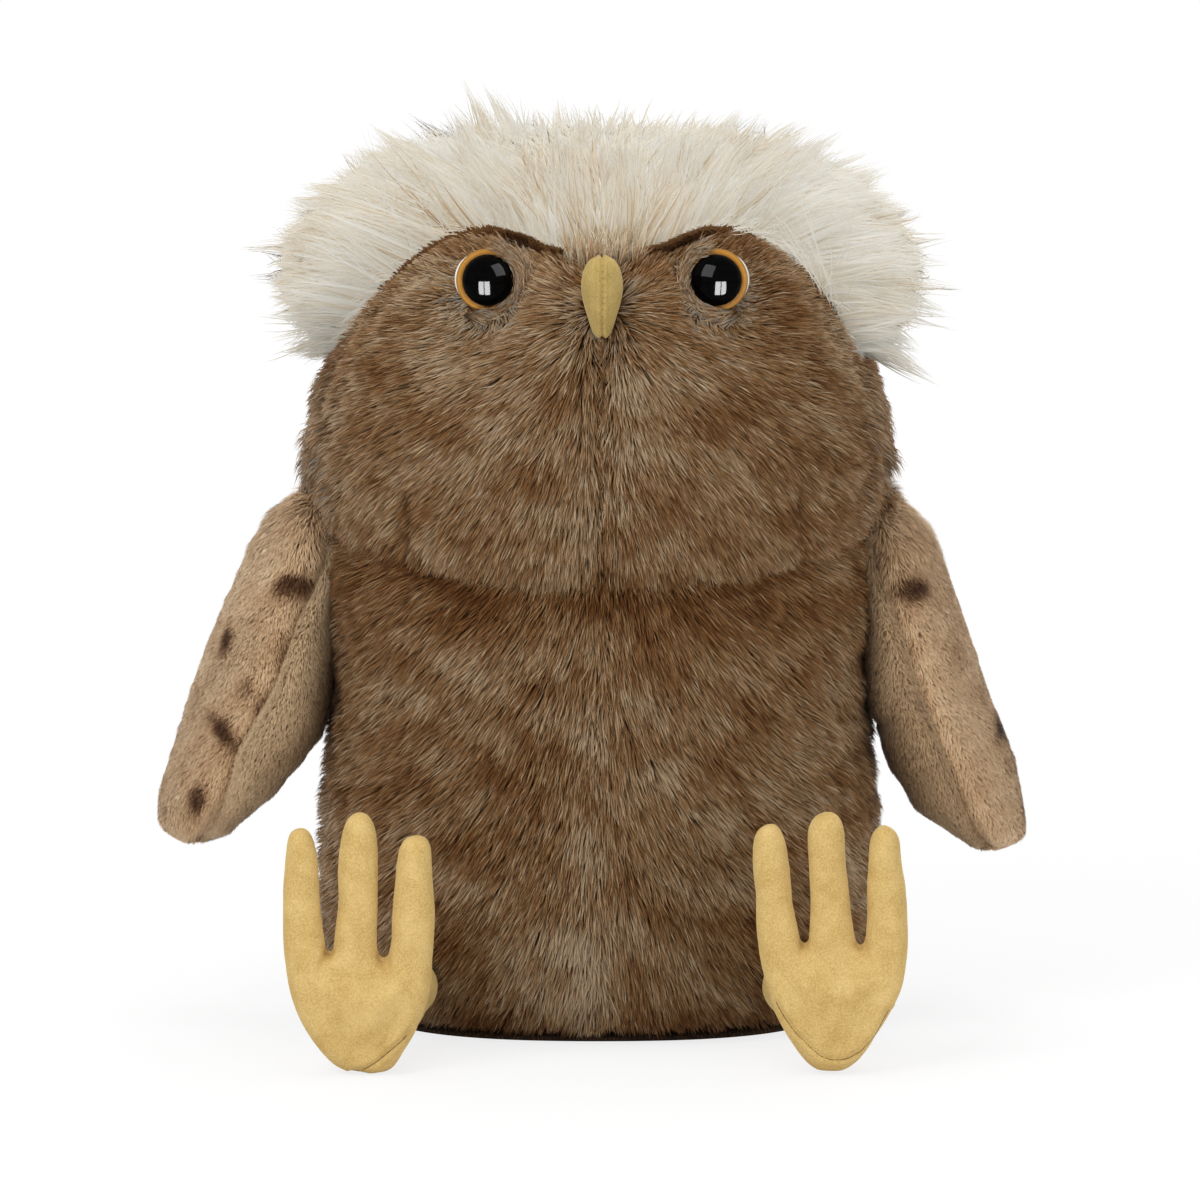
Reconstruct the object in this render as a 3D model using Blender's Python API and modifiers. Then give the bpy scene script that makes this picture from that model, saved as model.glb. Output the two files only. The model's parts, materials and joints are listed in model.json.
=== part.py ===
"""Plush owl, sitting, about 275 mm tall.

A stuffed torso and head of long-pile cloth, with a crown of longer pile, two
wings that swing at the shoulders and two legs that swing at the hips.
Metres, +Z up, the owl looks along -Y. The origin is the middle of the flat
base panel, on the surface that the owl sits on. Left and right are as seen
from the front, so left is -X.
"""

import math

import bmesh
import bpy
from mathutils import Matrix, Vector

# Driving sizes

# Clear space between pieces that touch
clearance = 0.0003

# Pile cloth: the backing and the depth of its pile together
torso_pile = 0.008
face_pile = 0.008
wing_pile = 0.004
suede_thickness = 0.0012

# Torso
torso_height = 0.176
torso_half_width = 0.0850
torso_front = 0.0680
torso_back = 0.0640
base_panel_thickness = 0.0025
base_tuck = 0.0010
side_seam_y = 0.0040

# Bag of pellets in the seat
pellet_bag_height = 0.028
pellet_bag_half_width = 0.044
pellet_bag_half_depth = 0.028

# Head
head_height = 0.1190
head_half_width = 0.0865
head_front = 0.0710
head_back = 0.0650
crown_rise = 0.0210
crown_flare = 0.0110
crown_forward = 0.0040

# Safety eyes
eye_yaw = math.radians(12.0)
eye_pitch = math.radians(6.0)
eye_radius = 0.0076
eye_dome_height = 0.0062
eye_rim = 0.0008
iris_radius = 0.0094
iris_thickness = 0.0010
shank_radius = 0.0020
shank_length = 0.0110
washer_radius = 0.0080
washer_thickness = 0.0012
eye_cloth = 0.0026

# Beak
beak_height = 0.0260
beak_half_width = 0.0064
beak_depth = 0.0110

# Wings
wing_hinge_out = 0.0030
wing_hinge_y = 0.0060
wing_hinge_z = 0.1550
wing_length = 0.1110
wing_half_thickness = 0.0205
wing_half_depth = 0.0350
wing_lean = math.radians(15.0)
wing_yaw = math.radians(12.0)

# Legs and feet
hip_z = 0.0170
leg_root_radius = 0.0100
leg_belly_radius = 0.0112
foot_out = 0.0137
foot_forward = 0.0430
palm_height = 0.0440
palm_half_width = 0.0225
palm_half_thickness = 0.0080
toe_spread = 0.0174
toe_base_radius = 0.0066
toe_tip_radius = 0.0054
middle_toe_top_z = 0.0800
outer_toe_top_z = 0.0745
sole_flat = 0.0005
ankle_z = 0.0200

# Places on the torso, as shares of its height, its half width and its front
head_bottom_up_share = 0.7670
hip_across_share = 0.6765
hip_forward_share = 0.8676

# Places on the head, as shares of its half width, its front and its height
crown_low_share = 0.5462
brow_side_across_share = 0.9769
brow_side_up_share = 0.5882
brow_top_across_share = 0.4046
brow_top_up_share = 0.9496
brow_middle_up_share = 0.8739
eye_across_share = 0.3954
eye_forward_share = 0.7676
eye_up_share = 0.8134
beak_forward_share = 0.9014
beak_up_share = 0.6723

# Height of a toe's root up the palm
toe_root_share = 0.62

# How square each form's sections are: 2 is an ellipse
torso_squareness = 2.35
head_squareness = 2.30
limb_squareness = 2.00

# Rings of each form, bottom to top: height, half width, front, back
torso_ring_shares = (
    (0.000, 0.400, 0.370, 0.400),
    (0.000, 0.760, 0.700, 0.740),
    (0.040, 0.930, 0.880, 0.920),
    (0.160, 1.000, 0.985, 1.000),
    (0.350, 1.000, 1.010, 0.990),
    (0.540, 0.945, 0.950, 0.930),
    (0.720, 0.935, 0.850, 0.880),
    (0.860, 0.880, 0.690, 0.780),
    (0.960, 0.700, 0.500, 0.600),
    (1.000, 0.350, 0.250, 0.300),
)
head_ring_shares = (
    (0.000, 0.350, 0.400, 0.350),
    (0.030, 0.720, 0.780, 0.700),
    (0.140, 0.950, 0.950, 0.880),
    (0.300, 1.010, 1.010, 0.980),
    (0.480, 0.995, 1.000, 1.010),
    (0.640, 0.950, 0.960, 1.000),
    (0.800, 0.830, 0.890, 0.920),
    (0.930, 0.640, 0.690, 0.740),
    (0.990, 0.430, 0.430, 0.480),
    (1.000, 0.200, 0.180, 0.220),
)
crown_ring_shares = (
    (0.000, 0.880, 0.850, 0.860),
    (0.160, 0.930, 0.890, 0.930),
    (0.420, 1.000, 0.900, 1.000),
    (0.640, 0.950, 0.860, 0.950),
    (0.830, 0.790, 0.760, 0.800),
    (0.950, 0.560, 0.550, 0.580),
    (1.000, 0.280, 0.280, 0.300),
)
pellet_ring_shares = (
    (0.000, 0.800, 0.800, 0.800),
    (0.300, 1.000, 1.000, 1.000),
    (0.750, 0.850, 0.850, 0.850),
    (1.000, 0.450, 0.450, 0.450),
)
beak_ring_shares = (
    (0.000, 0.400, 0.400, 0.400),
    (0.240, 0.760, 0.780, 0.780),
    (0.650, 1.020, 1.020, 1.020),
    (0.920, 0.720, 0.680, 0.680),
    (1.000, 0.350, 0.300, 0.300),
)

palm_ring_shares = (
    (0.000, 0.280, 0.550, 0.550),
    (0.110, 0.560, 0.850, 0.900),
    (0.460, 0.880, 1.050, 1.120),
    (0.780, 1.020, 0.920, 0.920),
    (1.000, 0.640, 0.450, 0.450),
)

# Wing rings, tip to root: distance from the tip, half thickness, half depth,
# sideways bow towards the body as a share of the half thickness
wing_ring_shares = (
    (0.000, 0.240, 0.250, -0.200),
    (0.080, 0.700, 0.660, -0.130),
    (0.280, 1.010, 0.990, 0.100),
    (0.480, 1.000, 1.010, 0.180),
    (0.710, 0.800, 0.860, 0.060),
    (0.910, 0.520, 0.600, 0.000),
    (1.000, 0.260, 0.340, 0.000),
)

# The brow seam from the side of the head to its middle: share of the way in
# from the side to the top of the scallop, share of the rise
brow_outer_shares = ((0.000, 0.000), (0.300, 0.480), (0.620, 0.800), (0.850, 0.960), (1.000, 1.000))
brow_inner_shares = ((0.680, 0.800), (0.350, 0.300))

# Facets
cage_sides = 16
inner_cage_sides = 8
limb_cage_sides = 8
turn_steps = 16
dome_arc_steps = 4
limb_turn_steps = 8
limb_arc_steps = 3

# How far a cutter runs past what it cuts, and how far one reaches that cuts
# everything on its side
overrun = 0.0100
far = 0.4000

# Points of a mesh nearer than this are one point
merge_distance = 0.00001

# Sides of the owl by the sign of X
side_names = {-1: "left", 1: "right"}

# Sizes that follow from the ones above
half_clearance = clearance / 2
head_bottom_z = torso_height * head_bottom_up_share
crown_low_z = head_bottom_z + head_height * crown_low_share
crown_height = head_bottom_z + head_height + crown_rise - crown_low_z
brow_side_x = head_half_width * brow_side_across_share
brow_side_z = head_bottom_z + head_height * brow_side_up_share
brow_top_x = head_half_width * brow_top_across_share
brow_top_z = head_bottom_z + head_height * brow_top_up_share
brow_middle_z = head_bottom_z + head_height * brow_middle_up_share
eye_x = head_half_width * eye_across_share
eye_y = -head_front * eye_forward_share
eye_z = head_bottom_z + head_height * eye_up_share
beak_y = -head_front * beak_forward_share
beak_z = head_bottom_z + head_height * beak_up_share
wing_hinge_x = torso_half_width + wing_hinge_out
hip_x = torso_half_width * hip_across_share
hip_y = -torso_front * hip_forward_share
foot_x = hip_x + foot_out
foot_y = hip_y - foot_forward

# Scene and collections

for old in list(bpy.data.objects):
    bpy.data.objects.remove(old, do_unlink=True)

parts = bpy.data.collections.new("plush_owl")
cutters = bpy.data.collections.new("cutters")
bpy.context.scene.collection.children.link(parts)
bpy.context.scene.collection.children.link(cutters)


def material(name, hex_colour, roughness, metallic=0.0):
    """A plain surface of one colour, given as an sRGB hex value."""
    channels = []
    for start in (0, 2, 4):
        value = int(hex_colour[start:start + 2], 16) / 255
        channels.append(value / 12.92 if value <= 0.04045 else ((value + 0.055) / 1.055) ** 2.4)
    surface = bpy.data.materials.new(name)
    surface.use_nodes = True
    shader = surface.node_tree.nodes["Principled BSDF"]
    shader.inputs["Base Color"].default_value = (*channels, 1.0)
    shader.inputs["Roughness"].default_value = roughness
    shader.inputs["Metallic"].default_value = metallic
    return surface


brown_pile = material("brown_pile", "6C543B", 0.95)
white_pile = material("white_pile", "E2DAC8", 0.95)
wing_spotted_pile = material("wing_spotted_pile", "A48566", 0.92)
wing_plain_pile = material("wing_plain_pile", "8D765C", 0.92)
base_cloth = material("base_cloth", "4A3524", 0.90)
sueded_cloth = material("sueded_cloth", "D6B775", 0.88)
beak_cloth = material("beak_cloth", "BBA162", 0.86)
black_plastic = material("black_plastic", "0B0B0B", 0.08)
amber_plastic = material("amber_plastic", "A8682A", 0.45)
washer_plastic = material("washer_plastic", "E6E6E2", 0.40)
stuffing = material("stuffing", "F2F1EC", 1.00)
pellet_cloth = material("pellet_cloth", "DAD7CF", 0.90)


# Helpers

def link(obj, collection, surface=None, parent=None):
    """Put an object in its collection, with its material and its parent."""
    for old in obj.users_collection:
        old.objects.unlink(obj)
    collection.objects.link(obj)
    if surface is not None:
        obj.data.materials.clear()
        obj.data.materials.append(surface)
    if collection is cutters:
        obj.hide_render = True
        obj.display_type = "WIRE"
    obj.parent = parent
    return obj


def ring_cage(name, rings, sides, squareness, surface, parent=None, collection=None):
    """A closed soft form: sections up its height, subdivided once.

    Each ring is (height, half width, front, back, sideways shift).
    """
    inside_share = math.cos(math.pi / sides)
    mesh = bpy.data.meshes.new(name)
    build = bmesh.new()
    loops = []
    for height, half_width, front, back, shift in rings:
        loop = []
        for step in range(sides):
            angle = 2 * math.pi * step / sides
            across = math.copysign(abs(math.cos(angle)) ** (2 / squareness), math.cos(angle))
            along = math.copysign(abs(math.sin(angle)) ** (2 / squareness), math.sin(angle))
            depth = back if along > 0 else front
            spot = Vector((across * half_width, along * depth, 0.0)) / inside_share
            loop.append(build.verts.new(spot + Vector((shift, 0.0, height))))
        loops.append(loop)
    for lower, upper in zip(loops, loops[1:]):
        for step in range(sides):
            after = (step + 1) % sides
            build.faces.new((lower[step], lower[after], upper[after], upper[step]))
    build.faces.new(loops[0][::-1])
    build.faces.new(loops[-1])
    build.to_mesh(mesh)
    build.free()
    obj = bpy.data.objects.new(name, mesh)
    link(obj, collection or parts, surface, parent)
    smooth = obj.modifiers.new("soft", "SUBSURF")
    smooth.levels = 1
    smooth.render_levels = 1
    mesh.shade_smooth()
    return obj


def sized_rings(shares, height, half_width, front, back, grow=0.0, bottom=0.0, drop=None):
    """Rings in metres from a table of shares, grown outwards by a clearance.

    With a drop, the lowest rings go straight down by it, so the form is open
    to what lies below it.
    """
    lowest = bottom - grow if drop is None else bottom
    rings = []
    for up, wide, forward, backward in shares:
        level = lowest + up * (bottom + height + grow - lowest)
        if drop is not None and up == 0.0:
            level = bottom - drop
        rings.append((
            level,
            wide * half_width + grow,
            forward * front + grow,
            backward * back + grow,
            0.0,
        ))
    return rings


def box(name, low, high, parent=None):
    """A cutter between two corners."""
    mesh = bpy.data.meshes.new(name)
    build = bmesh.new()
    bmesh.ops.create_cube(build, size=1.0)
    low, high = Vector(low), Vector(high)
    size = high - low
    bmesh.ops.transform(build, matrix=Matrix.Diagonal((*size, 1.0)), verts=build.verts)
    bmesh.ops.translate(build, vec=(low + high) / 2, verts=build.verts)
    build.to_mesh(mesh)
    build.free()
    return link(bpy.data.objects.new(name, mesh), cutters, parent=parent)


def ball(name, radius, centre, parent=None):
    """A round cutter."""
    mesh = bpy.data.meshes.new(name)
    build = bmesh.new()
    bmesh.ops.create_uvsphere(build, u_segments=turn_steps, v_segments=limb_turn_steps, radius=radius)
    build.to_mesh(mesh)
    build.free()
    obj = link(bpy.data.objects.new(name, mesh), cutters, parent=parent)
    obj.location = centre
    return obj


def turned(name, profile, steps, surface, parent=None, collection=None, ring=False):
    """A turned piece: (radius, height) points from the top down, about Z.

    The last point of a ring joins its first.
    """
    mesh = bpy.data.meshes.new(name)
    points = [(radius, 0.0, height) for radius, height in profile]
    edges = [(step, step + 1) for step in range(len(points) - 1)]
    if ring:
        edges.append((len(points) - 1, 0))
    mesh.from_pydata(points, edges, [])
    obj = link(bpy.data.objects.new(name, mesh), collection or parts, surface, parent)
    screw = obj.modifiers.new("turn", "SCREW")
    screw.steps = steps
    screw.render_steps = steps
    screw.use_merge_vertices = True
    screw.merge_threshold = merge_distance
    screw.use_smooth_shade = True
    return obj


def outline(name, points, low_y, high_y):
    """A cutter: an outline in XZ, extruded along Y."""
    curve = bpy.data.curves.new(name, "CURVE")
    curve.dimensions = "2D"
    curve.fill_mode = "BOTH"
    curve.extrude = (high_y - low_y) / 2
    spline = curve.splines.new("POLY")
    spline.points.add(len(points) - 1)
    for point, (x, z) in zip(spline.points, points):
        point.co = (x, z, 0.0, 1.0)
    spline.use_cyclic_u = True
    drawn = bpy.data.objects.new(name + "_curve", curve)
    cutters.objects.link(drawn)
    drawn.rotation_euler = (math.pi / 2, 0.0, 0.0)
    drawn.location = (0.0, (low_y + high_y) / 2, 0.0)
    bpy.context.view_layer.update()
    evaluated = drawn.evaluated_get(bpy.context.evaluated_depsgraph_get())
    mesh = bpy.data.meshes.new_from_object(evaluated)
    build = bmesh.new()
    build.from_mesh(mesh)
    bmesh.ops.remove_doubles(build, verts=build.verts, dist=merge_distance)
    build.to_mesh(mesh)
    build.free()
    obj = link(bpy.data.objects.new(name, mesh), cutters)
    obj.matrix_world = drawn.matrix_world.copy()
    bpy.data.objects.remove(drawn, do_unlink=True)
    return obj


def carve(obj, operation, *others, solver="EXACT"):
    """Cut an object by others, keep what it shares with them, or join them."""
    for other in others:
        step = obj.modifiers.new(other.name, "BOOLEAN")
        step.operation = operation
        step.solver = solver
        step.object = other
    return obj


# Forms that several pieces share

def torso_form(name, grow, sides, collection, surface=None, drop=None):
    """The torso's outer form, grown or shrunk."""
    rings = sized_rings(
        torso_ring_shares, torso_height, torso_half_width, torso_front, torso_back, grow, -sole_flat, drop,
    )
    return ring_cage(name, rings, sides, torso_squareness, surface, collection=collection)


def head_form(name, grow, sides, collection, surface=None):
    """The head's outer form, grown or shrunk."""
    rings = sized_rings(
        head_ring_shares, head_height, head_half_width, head_front, head_back, grow, head_bottom_z,
    )
    return ring_cage(name, rings, sides, head_squareness, surface, collection=collection)


torso_space = torso_form("torso_space", clearance, cage_sides, cutters)
torso_hollow = torso_form("torso_hollow", -torso_pile, inner_cage_sides, cutters, drop=overrun)
head_space = head_form("head_space", clearance, cage_sides, cutters)
head_hollow = head_form("head_hollow", -face_pile, inner_cage_sides, cutters)

above_tuck = box("above_tuck", (-far, -far, base_tuck), (far, far, far))
above_base = box("above_base", (-far, -far, base_panel_thickness + clearance), (far, far, far))
left_half = box("left_half", (-far, -far, -far), (-half_clearance, far, far))
right_half = box("right_half", (half_clearance, -far, -far), (far, far, far))
front_half = box("front_half", (-far, -far, -far), (far, side_seam_y - half_clearance, far))
back_half = box("back_half", (-far, side_seam_y + half_clearance, -far), (far, far, far))
halves = {-1: left_half, 1: right_half}

hips = {}
hip_sockets = {}
for side, side_name in side_names.items():
    hip = bpy.data.objects.new(f"hip_{side_name}", None)
    parts.objects.link(hip)
    hip.location = (side * hip_x, hip_y, hip_z)
    hips[side] = hip
    hip_sockets[side] = ball(
        f"hip_socket_{side_name}", leg_root_radius + clearance, (side * hip_x, hip_y, hip_z),
    )


# Torso

def torso():
    """Four panels round a core of stuffing, with a bag of pellets in the seat."""
    for side, side_name in side_names.items():
        panel = torso_form(f"torso_front_{side_name}_panel", 0.0, cage_sides, parts, brown_pile)
        carve(panel, "DIFFERENCE", torso_hollow)
        carve(panel, "INTERSECT", above_tuck, front_half, halves[side])
        carve(panel, "DIFFERENCE", hip_sockets[side])
    back_panel = torso_form("torso_back_panel", 0.0, cage_sides, parts, brown_pile)
    carve(back_panel, "DIFFERENCE", torso_hollow)
    carve(back_panel, "INTERSECT", above_tuck, back_half)

    base_slab = box("base_slab", (-far, -far, 0.0), (far, far, base_panel_thickness))
    base_panel = torso_form(
        "torso_base_panel", -torso_pile - clearance, inner_cage_sides, parts, base_cloth, overrun,
    )
    carve(base_panel, "INTERSECT", base_slab)

    bag_rings = sized_rings(
        pellet_ring_shares, pellet_bag_height, pellet_bag_half_width,
        pellet_bag_half_depth, pellet_bag_half_depth, 0.0, base_panel_thickness,
    )
    bag = ring_cage("pellet_bag", bag_rings, limb_cage_sides, limb_squareness, pellet_cloth)
    carve(bag, "INTERSECT", above_base)
    bag_space_rings = sized_rings(
        pellet_ring_shares, pellet_bag_height, pellet_bag_half_width,
        pellet_bag_half_depth, pellet_bag_half_depth, clearance, base_panel_thickness,
    )
    bag_space = ring_cage(
        "bag_space", bag_space_rings, limb_cage_sides, limb_squareness, None, collection=cutters,
    )
    core = torso_form(
        "torso_stuffing", -torso_pile - clearance, inner_cage_sides, parts, stuffing, overrun,
    )
    carve(core, "INTERSECT", above_base)
    carve(core, "DIFFERENCE", bag_space)


# Head

def brow_outline(side_x, low_z):
    """The face's edge seen from the front: a scallop over each eye."""
    rise = brow_top_z - brow_side_z
    left = []
    for inward, up in brow_outer_shares:
        left.append((-side_x + inward * (side_x - brow_top_x), brow_side_z + up * rise))
    for out, up in brow_inner_shares:
        left.append((-brow_top_x * out, brow_middle_z + up * (brow_top_z - brow_middle_z)))
    right = [(-x, z) for x, z in reversed(left)]
    shoulder_x = head_half_width + crown_flare + overrun
    corners_left = [(-shoulder_x, low_z), (-shoulder_x, crown_low_z), (-side_x, crown_low_z)]
    corners_right = [(-x, z) for x, z in reversed(corners_left)]
    return corners_left + left + [(0.0, brow_middle_z)] + right + corners_right


def crown_rings():
    """The crown's outer form: the head's top rings, raised and flared."""
    rings = []
    for up, wide, forward, backward in crown_ring_shares:
        rings.append((
            crown_low_z - overrun + up * (crown_height + overrun),
            wide * (head_half_width + crown_flare),
            forward * (head_front + crown_forward),
            backward * (head_back + crown_flare),
            0.0,
        ))
    return rings


def beak_form(name, grow, sides, collection, surface=None):
    """The beak's form, grown or shrunk."""
    rings = sized_rings(
        beak_ring_shares, beak_height, beak_half_width, beak_depth, beak_depth, grow, beak_z,
    )
    shaped = ring_cage(name, rings, sides, limb_squareness, surface, collection=collection)
    shaped.location = (0.0, beak_y, 0.0)
    return shaped


def eye_frame(side):
    """An empty at the eye, its Z axis pointing out of the face."""
    frame = bpy.data.objects.new(f"eye_{side_names[side]}_axis", None)
    parts.objects.link(frame)
    frame.location = (side * eye_x, eye_y, eye_z)
    outward = Vector((-side * math.sin(eye_yaw), -math.cos(eye_yaw), math.sin(eye_pitch)))
    frame.rotation_mode = "QUATERNION"
    frame.rotation_quaternion = outward.to_track_quat("Z", "Y")
    return frame


def head():
    """Face, back and crown panels round a core, over the torso."""
    low_z = head_bottom_z - overrun
    far_front = -head_front - overrun
    face_edge = brow_outline(brow_side_x, low_z)
    face_region = outline("face_region", face_edge, far_front, side_seam_y - half_clearance)
    grown_edge = brow_outline(brow_side_x + clearance, low_z)
    raised_edge = [(x, z + clearance if z > crown_low_z else z) for x, z in grown_edge]
    crown_notch = outline("crown_notch", raised_edge, far_front - overrun, side_seam_y + half_clearance)
    below_crown = box("below_crown", (-far, -far, -far), (far, far, crown_low_z - clearance))
    crown_region = box("crown_region", (-far, -far, crown_low_z), (far, far, far))
    head_sides = head_form("head_sides", clearance, cage_sides, cutters)
    carve(head_sides, "INTERSECT", box("below_brow", (-far, -far, -far), (far, far, brow_side_z)))
    carve(head_sides, "INTERSECT", box("before_seam", (-far, -far, -far), (far, side_seam_y, far)))

    faces = {}
    for side, side_name in side_names.items():
        panel = head_form(f"face_{side_name}_panel", 0.0, cage_sides, parts, brown_pile)
        carve(panel, "DIFFERENCE", head_hollow)
        carve(panel, "INTERSECT", face_region, halves[side])
        carve(panel, "DIFFERENCE", torso_space)
        faces[side] = panel
    back_panel = head_form("head_back_panel", 0.0, cage_sides, parts, brown_pile)
    carve(back_panel, "DIFFERENCE", head_hollow)
    carve(back_panel, "INTERSECT", back_half, below_crown)
    carve(back_panel, "DIFFERENCE", torso_space)

    crown = ring_cage("crown_panel", crown_rings(), cage_sides, head_squareness, white_pile)
    carve(crown, "INTERSECT", crown_region)
    beak_space = beak_form("beak_space", clearance, limb_cage_sides, cutters)
    carve(crown, "DIFFERENCE", head_hollow, crown_notch, head_sides, beak_space)

    core = head_form("head_stuffing", -face_pile - clearance, inner_cage_sides, parts, stuffing)
    carve(core, "DIFFERENCE", torso_space)

    for side, side_name in side_names.items():
        eye(side, side_name, faces[side], core, crown)


def eye(side, side_name, face, core, crown):
    """A safety eye: dome and shank, iris disc, and the washer behind the cloth."""
    frame = eye_frame(side)
    iris_back = -clearance - iris_thickness
    washer_front = iris_back - clearance - eye_cloth
    washer_back = washer_front - washer_thickness
    profile = [(0.0, eye_dome_height)]
    for step in range(1, dome_arc_steps + 1):
        angle = step * math.pi / 2 / dome_arc_steps
        profile.append((
            eye_radius * math.sin(angle),
            eye_rim + (eye_dome_height - eye_rim) * math.cos(angle),
        ))
    profile += [(eye_radius, 0.0), (shank_radius, 0.0), (shank_radius, -shank_length), (0.0, -shank_length)]
    turned(f"eye_{side_name}_dome", profile, turn_steps, black_plastic, frame)

    bore = shank_radius + clearance
    iris_profile = [
        (bore, -clearance), (iris_radius, -clearance), (iris_radius, iris_back), (bore, iris_back),
    ]
    turned(f"eye_{side_name}_iris_disc", iris_profile, turn_steps, amber_plastic, frame, ring=True)
    washer_profile = [
        (bore, washer_front), (washer_radius, washer_front), (washer_radius, washer_back),
        (bore, washer_back),
    ]
    turned(f"eye_{side_name}_washer", washer_profile, turn_steps, washer_plastic, frame, ring=True)

    socket_profile = [
        (0.0, eye_dome_height + overrun), (iris_radius + clearance, eye_dome_height + overrun),
        (iris_radius + clearance, iris_back - clearance), (bore, iris_back - clearance),
        (bore, washer_front + clearance), (washer_radius + clearance, washer_front + clearance),
        (washer_radius + clearance, washer_back - clearance), (bore, washer_back - clearance),
        (bore, -shank_length - clearance), (0.0, -shank_length - clearance),
    ]
    socket = turned(
        f"eye_{side_name}_socket", socket_profile, turn_steps, None, frame, cutters,
    )
    carve(face, "DIFFERENCE", socket)
    carve(core, "DIFFERENCE", socket)
    carve(crown, "DIFFERENCE", socket)


def beak():
    """Two halves of sueded cloth round a small core, on the face's middle seam."""
    hollow = beak_form("beak_hollow", -suede_thickness, inner_cage_sides, cutters)
    for side, side_name in side_names.items():
        half = beak_form(f"beak_{side_name}_half", 0.0, limb_cage_sides, parts, beak_cloth)
        carve(half, "INTERSECT", halves[side])
        carve(half, "DIFFERENCE", head_space, hollow)
    core = beak_form("beak_stuffing", -suede_thickness - clearance, inner_cage_sides, parts, stuffing)
    carve(core, "DIFFERENCE", head_space)


# Wings

def wing(side, side_name):
    """Outer and inner panels round a core, hung from the shoulder seam."""
    shoulder = bpy.data.objects.new(f"shoulder_{side_name}", None)
    parts.objects.link(shoulder)
    shoulder.location = (side * wing_hinge_x, wing_hinge_y, wing_hinge_z)
    shoulder.rotation_euler = (0.0, -side * wing_lean, -side * wing_yaw)

    def form(name, grow, sides, collection, surface=None):
        rings = []
        for up, thick, deep, bow in wing_ring_shares:
            rings.append((
                -wing_length - grow + up * (wing_length + 2 * grow),
                thick * wing_half_thickness + grow,
                deep * wing_half_depth + grow,
                deep * wing_half_depth + grow,
                -side * bow * wing_half_thickness,
            ))
        return ring_cage(name, rings, sides, limb_squareness, surface, shoulder, collection)

    hollow = form(f"wing_{side_name}_hollow", -wing_pile, inner_cage_sides, cutters)
    outer_cut = box(
        f"wing_{side_name}_outer_cut",
        (half_clearance if side > 0 else -far, -far, -far),
        (far if side > 0 else -half_clearance, far, far),
        shoulder,
    )
    inner_cut = box(
        f"wing_{side_name}_inner_cut",
        (-far if side > 0 else half_clearance, -far, -far),
        (-half_clearance if side > 0 else far, far, far),
        shoulder,
    )
    for panel_name, region, surface in (
        ("outer", outer_cut, wing_spotted_pile),
        ("inner", inner_cut, wing_plain_pile),
    ):
        panel = form(f"wing_{side_name}_{panel_name}_panel", 0.0, limb_cage_sides, parts, surface)
        carve(panel, "DIFFERENCE", hollow)
        carve(panel, "INTERSECT", region)
        carve(panel, "DIFFERENCE", torso_space, head_space)
    core = form(f"wing_{side_name}_stuffing", -wing_pile - clearance, inner_cage_sides, parts, stuffing)
    carve(core, "DIFFERENCE", torso_space, head_space)


# Legs and feet

def capsule(name, base, tip, base_radius, tip_radius, grow, surface, parent, collection):
    """A swelling tube with round ends between two points."""
    length = (Vector(tip) - Vector(base)).length
    base_r, tip_r = base_radius + grow, tip_radius + grow
    profile = []
    for step in range(limb_arc_steps):
        angle = step * math.pi / 2 / limb_arc_steps
        profile.append((tip_r * math.sin(angle), length - tip_radius + tip_r * math.cos(angle)))
    profile.append((tip_r, length - tip_radius))
    profile.append(((base_r + tip_r) / 2, length / 2))
    profile.append((base_r, 0.0))
    for step in range(1, limb_arc_steps + 1):
        angle = step * math.pi / 2 / limb_arc_steps
        profile.append((base_r * math.cos(angle), -base_r * math.sin(angle)))
    profile[-1] = (0.0, profile[-1][1])
    obj = turned(name, profile, limb_turn_steps, surface, parent, collection)
    obj.rotation_mode = "QUATERNION"
    obj.rotation_quaternion = (Vector(tip) - Vector(base)).to_track_quat("Z", "Y")
    obj.location = base
    return obj


def foot_form(name, side, grow, surface, hip, collection):
    """A palm and three toes in one body, standing upright."""
    centre = Vector((side * (foot_x - hip_x), foot_y - hip_y, -hip_z))
    rings = sized_rings(
        palm_ring_shares, palm_height, palm_half_width,
        palm_half_thickness, palm_half_thickness, grow, -sole_flat,
    )
    palm = ring_cage(name, rings, limb_cage_sides, limb_squareness, surface, hip, collection)
    palm.location = centre
    for place, top in ((-1, outer_toe_top_z), (0, middle_toe_top_z), (1, outer_toe_top_z)):
        root = centre + Vector((place * toe_spread, 0.0, palm_height * toe_root_share))
        tip = centre + Vector((place * toe_spread, 0.0, top))
        toe = capsule(
            f"{name}_toe_{place + 1}", root, tip, toe_base_radius, toe_tip_radius, grow,
            None, hip, cutters,
        )
        carve(palm, "UNION", toe, solver="MANIFOLD")
    return palm


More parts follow.
